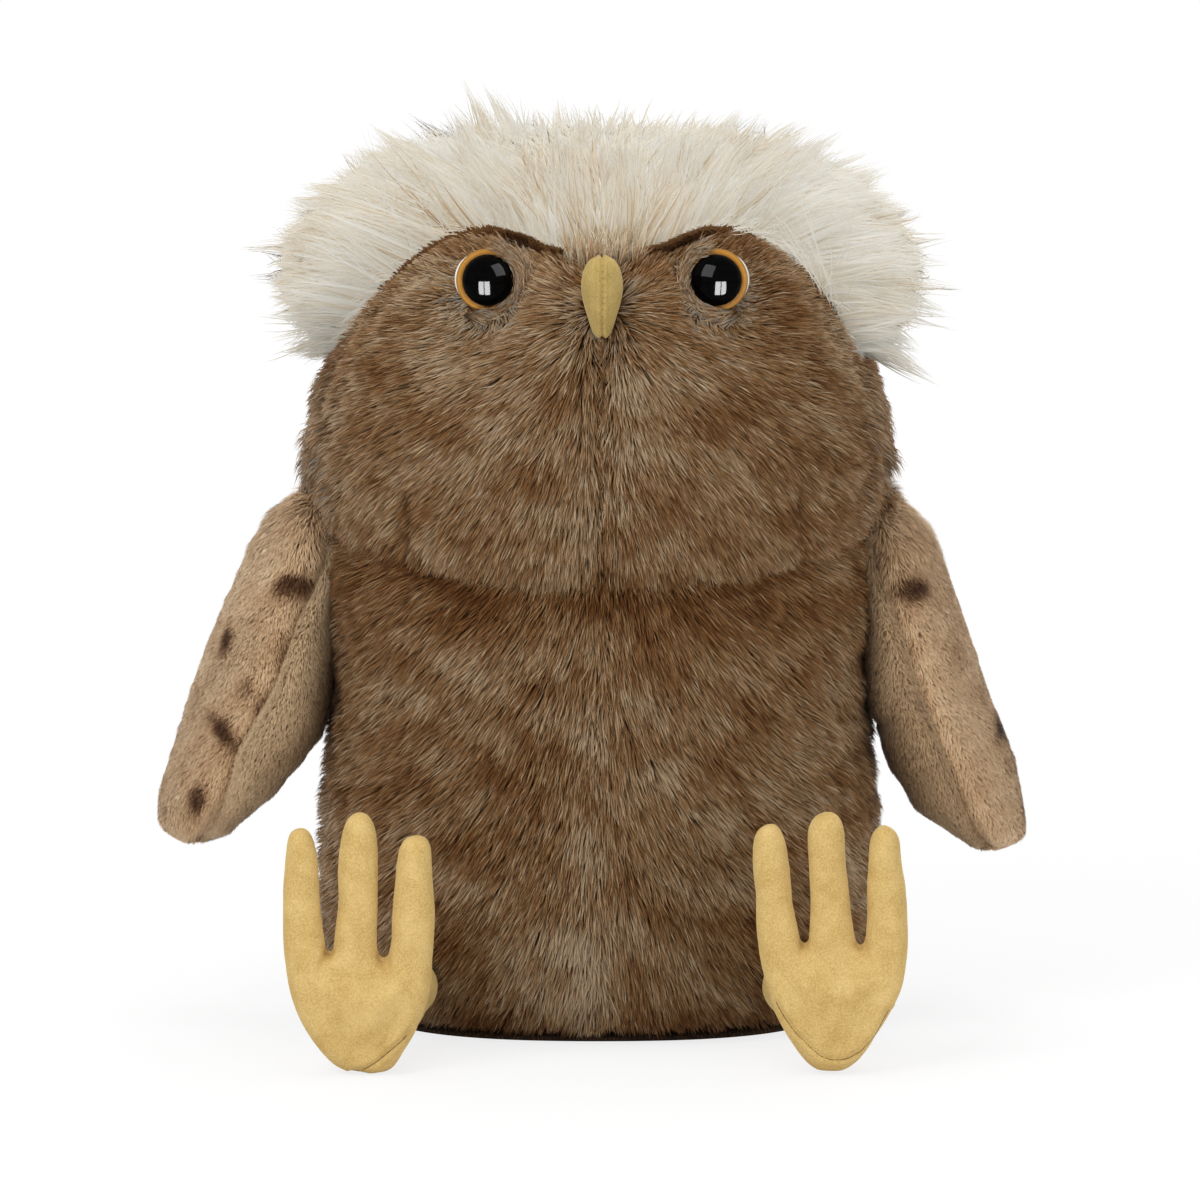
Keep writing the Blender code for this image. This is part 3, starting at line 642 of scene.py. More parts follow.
# Lines in the photograph: the edge of the brown pile over each eye, the crease
# under the head, and the top of the dense cream pile
brow_lines = {
    -1: (
        (564, 249), (545, 245), (530, 237), (514, 232), (491, 226), (470, 226), (453, 230), (430, 243), (415, 252),
        (388, 274), (370, 290), (357, 303), (345, 316), (334, 331), (326, 345),
    ),
    1: (
        (648, 247), (663, 244), (685, 234), (706, 227), (736, 222), (759, 228), (775, 236), (790, 246), (813, 272),
        (832, 298), (843, 313), (851, 326), (860, 339), (868, 352),
    ),
}
chin_line = (
    (322, 528), (340, 533), (357, 536), (390, 541), (415, 547), (426, 558), (455, 571), (484, 581), (537, 587),
    (602, 593), (644, 589), (680, 585), (713, 581), (750, 573), (782, 564), (809, 554), (835, 541), (858, 526),
)
crown_line = (
    (258, 262), (272, 232), (285, 209), (303, 177), (340, 156), (387, 143), (433, 135), (475, 126), (512, 121),
    (558, 140), (586, 135), (619, 139), (651, 140), (688, 132), (744, 131), (786, 140), (837, 150), (883, 177),
    (906, 206), (925, 236), (940, 262),
)


def level_of(line, across):
    """How far down a line of corners runs at places across the photograph."""
    line = np.array(sorted(line), dtype=float)
    return np.interp(across, line[:, 0], line[:, 1])


def over_crown(points):
    """How far points show above the dense cream pile in the photograph, in pixels."""
    across, down = in_photo(points)
    return level_of(crown_line, across) - down


def over_brow(points):
    """How far points show above the edge of the brown pile in the photograph, in pixels."""
    across, down = in_photo(points)
    above = np.empty(len(points))
    for side, line in brow_lines.items():
        slope = (level_of(line, across + 4) - level_of(line, across - 4)) / 8
        chosen = side * (across - middle_across) > 0
        above[chosen] = ((level_of(line, across) - down) / np.hypot(1.0, slope))[chosen]
    return above


def above_brow(points):
    """How far points of the knitted backing are above the seam between face and crown."""
    skin_points = np.array(points)
    for index in np.flatnonzero((points[:, 1] < 0.010) & (points[:, 2] > brow_low)):
        spot, normal, _, _ = head_tree.find_nearest(Vector(points[index]))
        skin_points[index] = spot + normal * pile_depth
    behind = ease(points[:, 1], side_seam_y - 0.012, side_seam_y + 0.004)
    ahead = over_brow(skin_points) * view_width / photo_size
    return np.where(points[:, 2] > brow_low, ahead, -0.05) * (1 - behind) + (points[:, 2] - 0.2010) * behind


def clear_of(tree, roots, close, least):
    """Whether roots are this far off another surface; only the close ones are measured."""
    clear = np.ones(len(roots), bool)
    clear[close] = gap_to(tree, roots[close]) > least
    return clear


def brown_tone(points, seed):
    """Mottling of the brown pile, from dark to frosted, with painted shade along the crease under the head."""
    dice = np.random.default_rng(seed)
    tone = 0.46 + 0.12 * patches(points, 26 * mm, 11) + 0.13 * patches(points, 9 * mm, 12)
    tone = tone + 0.09 * patches(points, 4 * mm, 13) + dice.normal(0.0, 0.20, len(points))
    gap, _ = line_gap(*in_photo(points), chin_line)
    return tone - 0.26 * bell(gap, 0, 7) * (points[:, 1] < 0)


def golden(points, tone, dice):
    """Golden fibres where the wings meet the head and torso."""
    across, down = in_photo(points)
    near = bell(np.abs(across - photo_middle), 264, 13) * bell(down, 500, 62) * (points[:, 1] < 0.03)
    chosen, gold = dice.random(len(points)) < near * 0.8, dice.uniform(0.95, 1.0, len(points))
    return np.where(chosen, gold, np.clip(tone, 0.0, 0.78))


def dress_brown(names, seed, fibres, **form):
    """Brown pile on a left, a right and a back panel."""
    x, y, _ = fibres[0].T
    ahead = y < side_seam_y
    for index, (name, chosen) in enumerate(zip(names, (ahead & (x < 0), ahead & (x >= 0), ~ahead))):
        dress(
            f"{name}_pile", f"{name}_panel", "brown_pile", brown_fibre, trunk, chosen, seed + 10 * index, fibres,
            bundle=6, pull=0.26, tuft=70, tuft_pull=0.22, **form,
        )


def torso_pile():
    """Pile of the torso: it parts at the front middle and lies down and outwards."""
    roots, normals = scatter(torso.data, 240000, 21)
    keep = (roots[:, 2] > 0.0045) & (normals[:, 2] > -0.75) & (roots[:, 2] < 0.164)
    roots, normals = picked(keep, roots, normals)
    roots, normals = picked(clear_of(head_tree, roots, roots[:, 2] > 0.120, -1.0 * mm), roots, normals)
    x, y, z = roots.T
    count = len(roots)
    dice = np.random.default_rng(22)
    around = np.where(x < 0, 1.0, -1.0)[:, None] * unit(np.cross(normals, (0.0, 0.0, 1.0)))
    downward = unit(np.array((0.0, 0.0, -1.0)) + normals * normals[:, 2:3])
    turn = np.arctan2(np.abs(x) / torso_half_width, -y / torso_front)
    lean = np.radians(54) * np.clip(np.sin(turn), 0.0, 1.0) ** np.where(turn < math.pi / 2, 0.62, 1.1)
    lean = lean + np.radians(7) * patches(roots, 24 * mm, 31) + dice.normal(0.0, math.radians(6.0), count)
    near_middle = bell(x, 0, 5 * mm) * (y < 0)
    lean = lean * (1 - 0.6 * near_middle) + near_middle * dice.normal(0.0, math.radians(14.0), count)
    lay = unit(around * np.sin(lean)[:, None] + downward * np.cos(lean)[:, None])
    low = 1 - ease(z, 0.004, 0.022)
    length = dice.uniform(5.6, 10.6, count) * mm * (1 - 0.45 * low)
    rise = dice.uniform(4.0, 7.6, count) * mm * (1 - 0.35 * low) * (1 + 0.22 * patches(roots, 5 * mm, 34))
    width = dice.uniform(0.26, 0.42, count) * mm
    across, down = in_photo(roots)
    ridge = bell(across, 588, 20) * ease(down, 650, 760) * (y < 0)
    lighter = plateau(down, 760, 820, 930, 985) * (y < 0)
    # painted shade: darker near the floor and in a band just under the head
    tone = brown_tone(roots, 23) + 0.20 * ridge + 0.07 * lighter - 0.26 * low
    tone = tone - 0.14 * bell(z, 0.136, 0.012) * (y < 0.01)
    fibres = roots, normals, lay, length, rise, width, golden(roots, tone, dice)
    dress_brown(("torso_front_left", "torso_front_right", "torso_back"), 240, fibres, floor=0.6 * mm)


def face_pile():
    """Pile of the face and the back of the head: it lies away from the beak."""
    roots, normals = scatter(head.data, 235000, 41)
    above = above_brow(roots)
    roots, normals, above = picked(above < -1.0 * mm * (roots[:, 1] < 0), roots, normals, above)
    keep = clear_of(torso_tree, roots, roots[:, 2] < 0.165, 1.0 * mm)
    roots, normals, above = picked(keep, roots, normals, above)
    x, y, z = roots.T
    beak_gap = np.hypot((x - middle_x) / 5.2, (z - 0.2290) / 11.5) / mm
    beak_gap = np.where(y < 0, beak_gap, 9.0)
    eye_gap = np.full(len(roots), 1.0)
    swept = roots - flow_centre
    swept[:, 0] += np.sign(x) * 7 * mm * (1 - np.exp(-np.abs(x) / (5 * mm)))
    flow = unit(swept)
    for side in sides:
        reach = roots - np.array(eye_spots[side])
        distance = np.linalg.norm(reach, axis=1)
        eye_gap = np.minimum(eye_gap, distance)
        share = bell(distance, 9 * mm, 6 * mm)[:, None]
        flow = flow * (1 - share) + unit(reach) * share
    keep = (eye_gap > 9.6 * mm) & (beak_gap > 0.92)
    roots, normals, above, flow, eye_gap, beak_gap = picked(keep, roots, normals, above, flow, eye_gap, beak_gap)
    x, y, z = roots.T
    count = len(roots)
    dice = np.random.default_rng(42)
    flow = flow + 0.12 * drift(roots, 22 * mm, 50) + dice.normal(0.0, 0.09, (count, 3))
    lay = unit(laid_flat(flow, normals))
    full = ease(eye_gap, 10 * mm, 24 * mm) * (0.15 + 0.85 * ease(beak_gap, 0.9, 2.2))
    brow = 1 - ease(-above, 4 * mm, 14 * mm)
    length = dice.uniform(5.6, 10.4, count) * mm * (0.42 + 0.58 * full) * (1 - 0.45 * brow)
    rise = dice.uniform(4.0, 7.4, count) * mm * (0.38 + 0.62 * full) * (1 - 0.3 * brow)
    rise = rise * (1 + 0.22 * patches(roots, 5 * mm, 35))
    width = dice.uniform(0.26, 0.42, count) * mm
    across, down = in_photo(roots)
    grey = bell(eye_gap, 8 * mm, 6 * mm) + 0.25 * bell(beak_gap, 1, 0.8)
    dart = sum(bell(across, place, 7) for place in dart_across.values()) * plateau(down, 480, 500, 545, 560)
    ahead = ease(down, 335, 360) * (y < 0)
    middle = np.abs(x - middle_x)
    line = bell(middle, 0, 2.1 * mm) * ahead
    # painted shade: darker in the creases of the cheek darts
    tone = brown_tone(roots, 43) + 0.03 - 0.16 * dart * (y < 0)
    tone = tone + 0.10 * (bell(middle, 6 * mm, 5 * mm) * ahead) - 0.75 * line
    cheek = ease(np.abs(across - photo_middle), 238, 258) * plateau(down, 335, 375, 490, 530) * (y < 0.03)
    ragged = np.maximum(patches(roots, 7 * mm, 36), 0.0)
    rise = rise * (1 - 0.70 * line) * (1 + 0.5 * cheek * ragged)
    length = length * (1 - 0.45 * line) * (1 + 0.7 * cheek * ragged)
    tone = golden(roots, tone, dice)
    # fibres that would stand over the brow are cut at the photograph's line
    over_tips = over_brow(roots + lay * length[:, None] + normals * rise[:, None])
    outer = ease(np.abs(across - middle_across), 90, 140)
    excess = np.where((y < 0) & (z > brow_low), over_tips + 0.8 + 2.8 * outer, -1.0)
    climb = np.maximum(over_tips - over_brow(roots), 1.0)
    shorter = np.clip(1 - np.maximum(excess, 0.0) / climb, 0.0, 1.0)
    *fibres, tone, grey = picked(
        shorter > 0.25, roots, normals, lay, length * shorter, rise * shorter, width, tone, grey,
    )
    frosted = dice.random(len(tone)) < 0.75 * grey
    tone = np.where(frosted, dice.uniform(0.83, 0.89, len(tone)), tone)
    dress_brown(("face_left", "face_right", "head_back"), 440, (*fibres, tone))


def brow_fringe(dice):
    """Dark golden fibres that stand along the seam over each eye."""
    roots, normals, tips = [], [], []
    for side in sides:
        line = np.array(brow_lines[side], dtype=float)
        walked = np.concatenate(([0.0], np.cumsum(np.linalg.norm(np.diff(line, axis=0), axis=1))))
        for spot in dice.uniform(0.0, walked[-1], 4600):
            (across, ahead), (down, fall) = (
                (np.interp(spot, walked, part), np.interp(spot + 3, walked, part) - np.interp(spot - 3, walked, part))
                for part in line.T
            )
            inward = np.array((-fall, ahead)) / max(math.hypot(ahead, fall), 0.1)
            inward = inward * np.sign(inward[1])
            outer = ease(abs(across - middle_across), 90, 140)
            back = dice.uniform(7.0, 13.0) + 9.0 * outer
            reach = dice.normal(-0.3 + 2.0 * outer, 1.4)
            aslant = dice.normal(0.0, 5.0) - side * 3.0
            root, normal = photo_hit(head_tree, across + inward[0] * back, down + inward[1] * back)
            place = across - inward[0] * reach + ahead / 6 * aslant, down - inward[1] * reach + fall / 6 * aslant
            under, under_normal = photo_hit(head_tree, *place)
            if root is None or under is None:
                continue
            direction = photo_ray(*place)[1]
            stand = (dice.uniform(4.5, 6.2) + 2.5 * outer) * mm
            towards = min(stand / max(-direction.dot(under_normal), 0.3), 13 * mm)
            roots.append(root)
            normals.append(normal)
            tips.append(under - direction * towards)
    roots, normals, tips = np.array(roots), np.array(normals), np.array(tips)
    count = len(roots)
    rise = np.full(count, 4.0 * mm)
    over = tips - roots - normals * rise[:, None]
    length = np.linalg.norm(over, axis=1)
    width, tone = dice.uniform(0.22, 0.34, count) * mm, dice.random(count)
    fibres = roots, normals, over / length[:, None], length, rise, width, tone
    ways = np.tile(unit(np.array((0.0, -1.0, 0.5))), (count, 1))
    piece = pile("brow_fringe_pile", fringe_fibre, fibres, 152, bundle=4, pull=0.25, turn=0.2, ways=ways)
    belong(piece, trunk)


def bridge_wisps(dice):
    """Above the beak, wisps of the face's pile run up into the cream."""
    count = 560
    across = middle_across + 36 * np.clip(dice.normal(0.0, 0.50, count), -1.0, 1.0)
    down = 262 - 18 * dice.random(count) ** 1.5
    hits = [photo_hit(head_tree, *place) for place in zip(across, down + 8)]
    roots, normals = (np.array(values) for values in zip(*hits))
    flow = np.stack([roots[:, 0] * 14, np.full(count, -0.1), np.ones(count)], axis=1)
    lay = unit(laid_flat(flow + dice.normal(0.0, 0.20, (count, 3)), normals))
    length = (2.5 + 11.0 * dice.random(count) ** 2) * mm
    rise = dice.uniform(6.0, 9.5, count) * mm
    width = dice.uniform(0.20, 0.34, count) * mm
    tone = dice.normal(0.20, 0.20, count) - 0.06 * (np.abs(across - middle_across) / 40) + 0.010 * (255 - down)
    fibres = roots, normals, lay, length, rise, width, np.clip(tone, 0.0, 1.0)
    belong(pile("bridge_wisps_pile", cream_fibre, fibres, 154, bundle=5, pull=0.3), trunk)


def crown_form(name, low, high, grow, levels, surface=None):
    """The crown's outside, or a smaller form inside it."""
    return soft_form(
        name, ring_rows(crown_shares, low, high, crown_half_width, 0.0750, 0.0760, grow), 16, 2.3, levels, surface,
    )


def crown_core():
    """The crown's knitted backing, tucked into the head's at the brow and low behind."""
    core = crown_form("crown_backing", crown_low + 0.006, crown_high - 12.5 * mm, -8.5 * mm, 3, cream_backing)
    own = points_of(core.data)
    free = ease(above_brow(own), 1.5 * mm, 13 * mm)
    for index in np.flatnonzero((free < 1) & (own[:, 1] < 0.002)):
        spot, normal, _, _ = head_tree.find_nearest(Vector(own[index]))
        tucked = np.array(spot - normal * 2.0 * mm)
        if (Vector(own[index]) - Vector(tucked)).dot(normal) > 0:
            own[index] = tucked + (own[index] - tucked) * free[index]
    own[:, 2] -= 6.0 * mm * ease(own[:, 1], -0.010, 0.045) * ease(own[:, 2], 0.215, 0.255)
    set_points(core.data, own)
    belong(core, trunk, ("crown_panel",))
    return core


def crown_roots(core):
    """Roots of the cream pile on head and crown, their height over the brow and over the beak."""
    on_head, head_normals = scatter(head.data, 120000, 61)
    above = above_brow(on_head)
    out = np.abs(on_head[:, 0])
    keep = above > 0.6 * mm * ease(out, 0.016, 0.034) + 0.8 * mm * ease(out, 0.040, 0.055)
    on_head, head_normals, above = picked(keep, on_head, head_normals, above)
    keep = (gap_to(tree_of(core), on_head) > -2.5 * mm) | (above < 8 * mm)
    on_head, head_normals, above = picked(keep, on_head, head_normals, above)
    on_core, core_normals = scatter(core.data, 130000, 63)
    on_core, core_normals = picked(on_core[:, 2] > 0.2020, on_core, core_normals)
    climbed = above_brow(on_core)
    keep = (gap_to(head_tree, on_core) > -0.5 * mm) & ((climbed > -2 * mm) | (on_core[:, 1] > -0.01))
    on_core, core_normals, climbed = picked(keep, on_core, core_normals, climbed)
    roots, normals = np.concatenate((on_head, on_core)), np.concatenate((head_normals, core_normals))
    return roots, normals, np.concatenate((above, np.full(len(on_core), 0.02))), np.concatenate((above, climbed))


def crown_pile():
    """Long cream pile that stands up and out from the brow over the head: a
    short dense underpile, and the long pile with its wisps."""
    reach = crown_form("crown_reach", crown_low, crown_high, 0.0, 2)
    reach_tree = tree_of(reach)
    bpy.data.objects.remove(reach, do_unlink=True)
    roots, normals, above, climbed = crown_roots(crown_core())
    x, y, z = roots.T
    out, count = np.abs(x), len(roots)
    dice = np.random.default_rng(62)
    centre_z = 0.212 + 0.020 * ease(out, 0.020, 0.060)
    depth_share = 0.12 + 0.68 * ease(y, -0.030, 0.030)
    flow = unit(np.stack([x, y * depth_share, z - centre_z], axis=1))
    lean = flow + normals * (0.10 + 0.22 * ease(normals[:, 2], 0.35, 0.9))[:, None]
    ahead = 1 - ease(y, -0.045, -0.010)
    lean[:, 1] = np.where(lean[:, 1] < 0, lean[:, 1] * (1 - 0.7 * ahead), lean[:, 1])
    lean[:, 2] -= 0.60 * ease(y, 0.008, 0.042) * ease(z, 0.215, 0.245)
    near_brow = 1 - ease(above, 0.0, 9 * mm)
    steep = ease(out, 0.034, 0.056)
    off_brow = unit(np.stack([np.sign(x) * (0.2 + 0.6 * steep), np.zeros(count), 1.0 - 0.3 * steep], axis=1))
    lean = lean + 0.20 * drift(roots, 24 * mm, 70) + 0.7 * off_brow * (near_brow * (y < 0))[:, None]
    lean = unit(lean + dice.normal(0.0, 0.06, (count, 3)))
    tone = 0.69 + 0.15 * patches(roots, 20 * mm, 75) + 0.13 * patches(roots, 6 * mm, 76)
    tone = tone + 0.13 * patches(roots, 2.5 * mm, 78) + dice.normal(0.0, 0.20, count)
    tanned = (1 - ease(climbed, -1 * mm, 12 * mm)) * bell(x, 0, 11 * mm) * (y < 0)
    tone = np.clip(tone - 0.70 * tanned * dice.random(count) ** 1.3, 0.0, 1.0)
    lower = dice.random(count) < 0.5
    regions = {
        f"{part}_{sides[side]}": band & (x < 0 if side < 0 else x >= 0)
        for part, band in (("front", y < -0.02), ("middle", (y >= -0.02) & (y < 0.03)), ("back", y >= 0.03))
        for side in sides
    }
    facing_front = np.tanh((y - 0.014 - 0.010 * ease(z, 0.225, 0.245)) / (14 * mm))
    ways = unit(np.stack([1.4 * (x / crown_half_width) ** 3, facing_front, np.full(count, 0.30)], axis=1))
    ways = unit(ways + 0.35 * normals)
    over = unit(laid_flat(lean, normals) + dice.normal(0.0, 0.10, (count, 3)))
    thin = 0.42 + 0.58 * ease(z, 0.203, 0.224)
    short = dice.uniform(9.0, 15.0, count) * mm * thin
    swell = dice.uniform(4.5, 7.5, count) * mm * (1 - 0.45 * near_brow) * thin
    for index, (name, chosen) in enumerate(regions.items()):
        fibres = roots, normals, over, short, swell, dice.uniform(0.40, 0.62, count) * mm, tone
        dress(
            f"crown_{name}_underpile", "crown_panel", "white_pile", cream_fibre, trunk, chosen & lower,
            740 + 10 * index, fibres, most=26000, steps=4, bundle=8, pull=0.3, curl=0.0008, soften=0.75, tuft=60,
            tuft_pull=0.25, turn=0.4, sky=0.88, ways=unit(ways + 0.6 * normals),
        )

    roots, normals, lean, tone, thin, ways = picked(~lower, roots, normals, lean, tone, thin, ways)
    x, y, _ = roots.T
    count = len(roots)
    length = np.empty(count)
    for index in range(count):
        hit = reach_tree.ray_cast(Vector(roots[index]), Vector(lean[index]))
        length[index] = hit[3] if hit[0] is not None else 12 * mm
    tufted = dice.random(count) < 0.26
    tall = np.maximum(patches(roots, 7 * mm, 74), 0.0) ** 1.5
    mass = np.clip(length, 11 * mm * thin, 42 * mm) * dice.uniform(0.58, 1.08, count) * (0.88 + 0.55 * tall)
    sparse = 0.22 + 0.78 * ease(patches(roots, 9 * mm, 77), 0.1, 0.9)
    flank = 1 + 0.4 * ease(np.abs(x), 0.055, 0.075)
    longer = dice.uniform(5.0, 22.0, count) * mm * sparse * flank * (0.40 + 0.60 * thin)
    length = np.where(tufted, np.clip(length, 6 * mm, 36 * mm) + longer, mass)
    # no tip goes further out or back than this
    furthest_out, furthest_back = 0.1400, 0.0845
    length = np.minimum(length, np.maximum(furthest_out - np.abs(x), 0.004) / np.maximum(np.abs(lean[:, 0]), 0.05))
    length = np.minimum(length, np.maximum(furthest_back - y, 0.004) / np.maximum(lean[:, 1], 0.05))
    # and none shows higher than the photograph's outline lets it
    peak = 20 * bell(in_photo(roots)[0], 512, 40)
    room = np.where(tufted, 4 + (44 + peak) * sparse * dice.random(count) ** 1.1, 10 * dice.random(count) - 4)
    low, high = over_crown(roots), over_crown(roots + lean * length[:, None])
    length = length * np.clip((room - low) / np.maximum(high - low, 1.0), 0.25, 1.0)
    rise = np.full(count, 1.2 * mm)
    width = dice.uniform(0.32, 0.52, count) * mm
    kinds = (
        ("pile", ~tufted, 640, width,
         dict(bundle=10, pull=0.35, curl=0.0012, tuft=90, tuft_pull=0.95, point=0.50, turn=0.3)),
        ("wisps", tufted, 840, width * 0.9,
         dict(bundle=8, pull=0.30, curl=0.0008, tuft=26, tuft_pull=1.25, point=0.40, turn=0.12)),
    )
    for index, (name, chosen) in enumerate(regions.items()):
        for kind, which, seed, wide, form in kinds:
            dress(
                f"crown_{name}_{kind}", "crown_panel", "white_pile", cream_fibre, trunk, chosen[~lower] & which,
                seed + 10 * index, (roots, normals, lean, length, rise, wide, tone), most=21000, steps=5,
                strays=0.30, droop=0.03, soften=0.75, sky=0.92, ways=ways, **form,
            )


fringe_dice = np.random.default_rng(151)
torso_pile()
face_pile()
brow_fringe(fringe_dice)
bridge_wisps(fringe_dice)
crown_pile()

# Cream pile lets light through: it throws no shadow, the backing under it does
for piece in bpy.data.objects:
    if piece.name.startswith("crown_") and piece.name != "crown_backing":
        piece.visible_shadow = False

belong(torso, trunk, ("torso_stuffing", "pellet_bag"))
belong(head, trunk, ("head_stuffing",))


# Wings

# The seam between a wing's outer and inner panels in the photograph
wing_seams = {
    -1: (
        (322, 560), (314.8, 586.7), (300.3, 615.8), (288.2, 649.7), (271.2, 693.3), (251.8, 727.3), (239.7, 751.5),
        (230, 783), (216, 822),
    ),
    1: (
        (878, 560), (885, 590), (898, 625), (908, 650), (920, 690), (934, 727), (948, 760), (958, 790), (972, 826),
    ),
}
# The wings' outlines in the photograph: outer side from top to tip, then inner side up
wing_outlines = {
    -1: (
        (322, 478), (300, 490), (270, 520), (245, 560), (225, 600), (205, 650), (190, 690), (175, 740), (160, 790),
        (157, 820), (165, 838), (200, 843), (235, 833), (270, 800), (300, 765), (325, 730), (335, 690),
    ),
    1: (
        (866, 478), (880, 490), (905, 510), (935, 550), (950, 590), (975, 650), (985, 690), (1000, 720), (1015, 760),
        (1022, 800), (1028, 830), (1005, 850), (960, 840), (915, 810), (885, 760), (870, 700),
    ),
}
lowest_corner = 11
# Marks on the wings as the photograph shows them: place, half size, turn, depth
photo_spots = {
    -1: (
        (297, 580, 15, 13, -0.3, 0.80), (231, 636, 5, 13, 0.30, 0.60), (226, 728, 9, 17, -0.50, 0.75),
        (199, 799, 9, 15, 0.05, 0.75), (250, 682, 8, 10, 0.0, 0.22), (282, 650, 9, 20, 0.3, 0.24),
        (262, 700, 8, 18, 0.4, 0.20), (190, 770, 6, 8, 0.0, 0.20), (205, 690, 6, 12, 0.2, 0.16),
    ),
    1: (
        (908, 588, 12, 13, -0.2, 0.72), (998, 724, 10, 15, 0.2, 0.68), (1024, 797, 8, 15, 0.0, 0.70),
        (951, 648, 7, 13, -0.3, 0.30), (975, 690, 8, 12, -0.2, 0.22),
    ),
}
# Marks on the outer side, in the wing's own frame: place and half size
outer_spots = (
    (0.004, -0.034, 6 * mm, 5 * mm), (0.017, -0.052, 4 * mm, 6 * mm), (-0.004, -0.064, 5 * mm, 6 * mm),
    (0.016, -0.080, 5 * mm, 6 * mm), (0.000, -0.093, 4 * mm, 5 * mm), (0.024, -0.068, 3 * mm, 5 * mm),
)


def fit_wing(body, side):
    """Draw a wing's backing to the outline that the photograph shows, less its pile."""
    points, outline = points_of(body.data), wing_outlines[side]
    pixel = view_width / photo_size
    edge = 4.5  # the short pile stands this many pixels off the backing
    lowest = np.array(outline)[:, 1].max() - edge
    down = in_photo(points)[1]
    points[:, 2] -= ease(down, 640, 840) * (lowest - down.max()) * pixel
    across, down = in_photo(points)
    outer, inner = (
        np.array(sorted(part, key=lambda spot: spot[1]), dtype=float)
        for part in (outline[:lowest_corner], outline[lowest_corner + 1:])
    )
    levels = np.linspace(down.min(), down.max(), 60)
    near = [np.abs(down - level) < 6.0 for level in levels]
    far_now, near_now = (
        np.interp(down, levels, np.array([limit(side * across[mask]) for mask in near])) for limit in (np.max, np.min)
    )
    far_goal = side * np.interp(down, outer[:, 1], outer[:, 0]) - edge
    near_goal = side * np.interp(down, inner[:, 1], inner[:, 0]) + edge
    far_goal = np.where(down < outer[0, 1], far_now, far_goal)
    near_goal = np.where(down < inner[0, 1] + 10, near_now, near_goal)
    share = np.clip((side * across - near_now) / np.maximum(far_now - near_now, 4.0), 0.0, 1.0)
    goal = near_goal + share * np.maximum(far_goal - near_goal, 6.0)
    moved = np.clip(goal - side * across, -16, 16) * (1 - ease(down, lowest - 14, lowest))
    points[:, 0] += side * moved * pixel * ease(down, 480, 510)
    set_points(body.data, points)


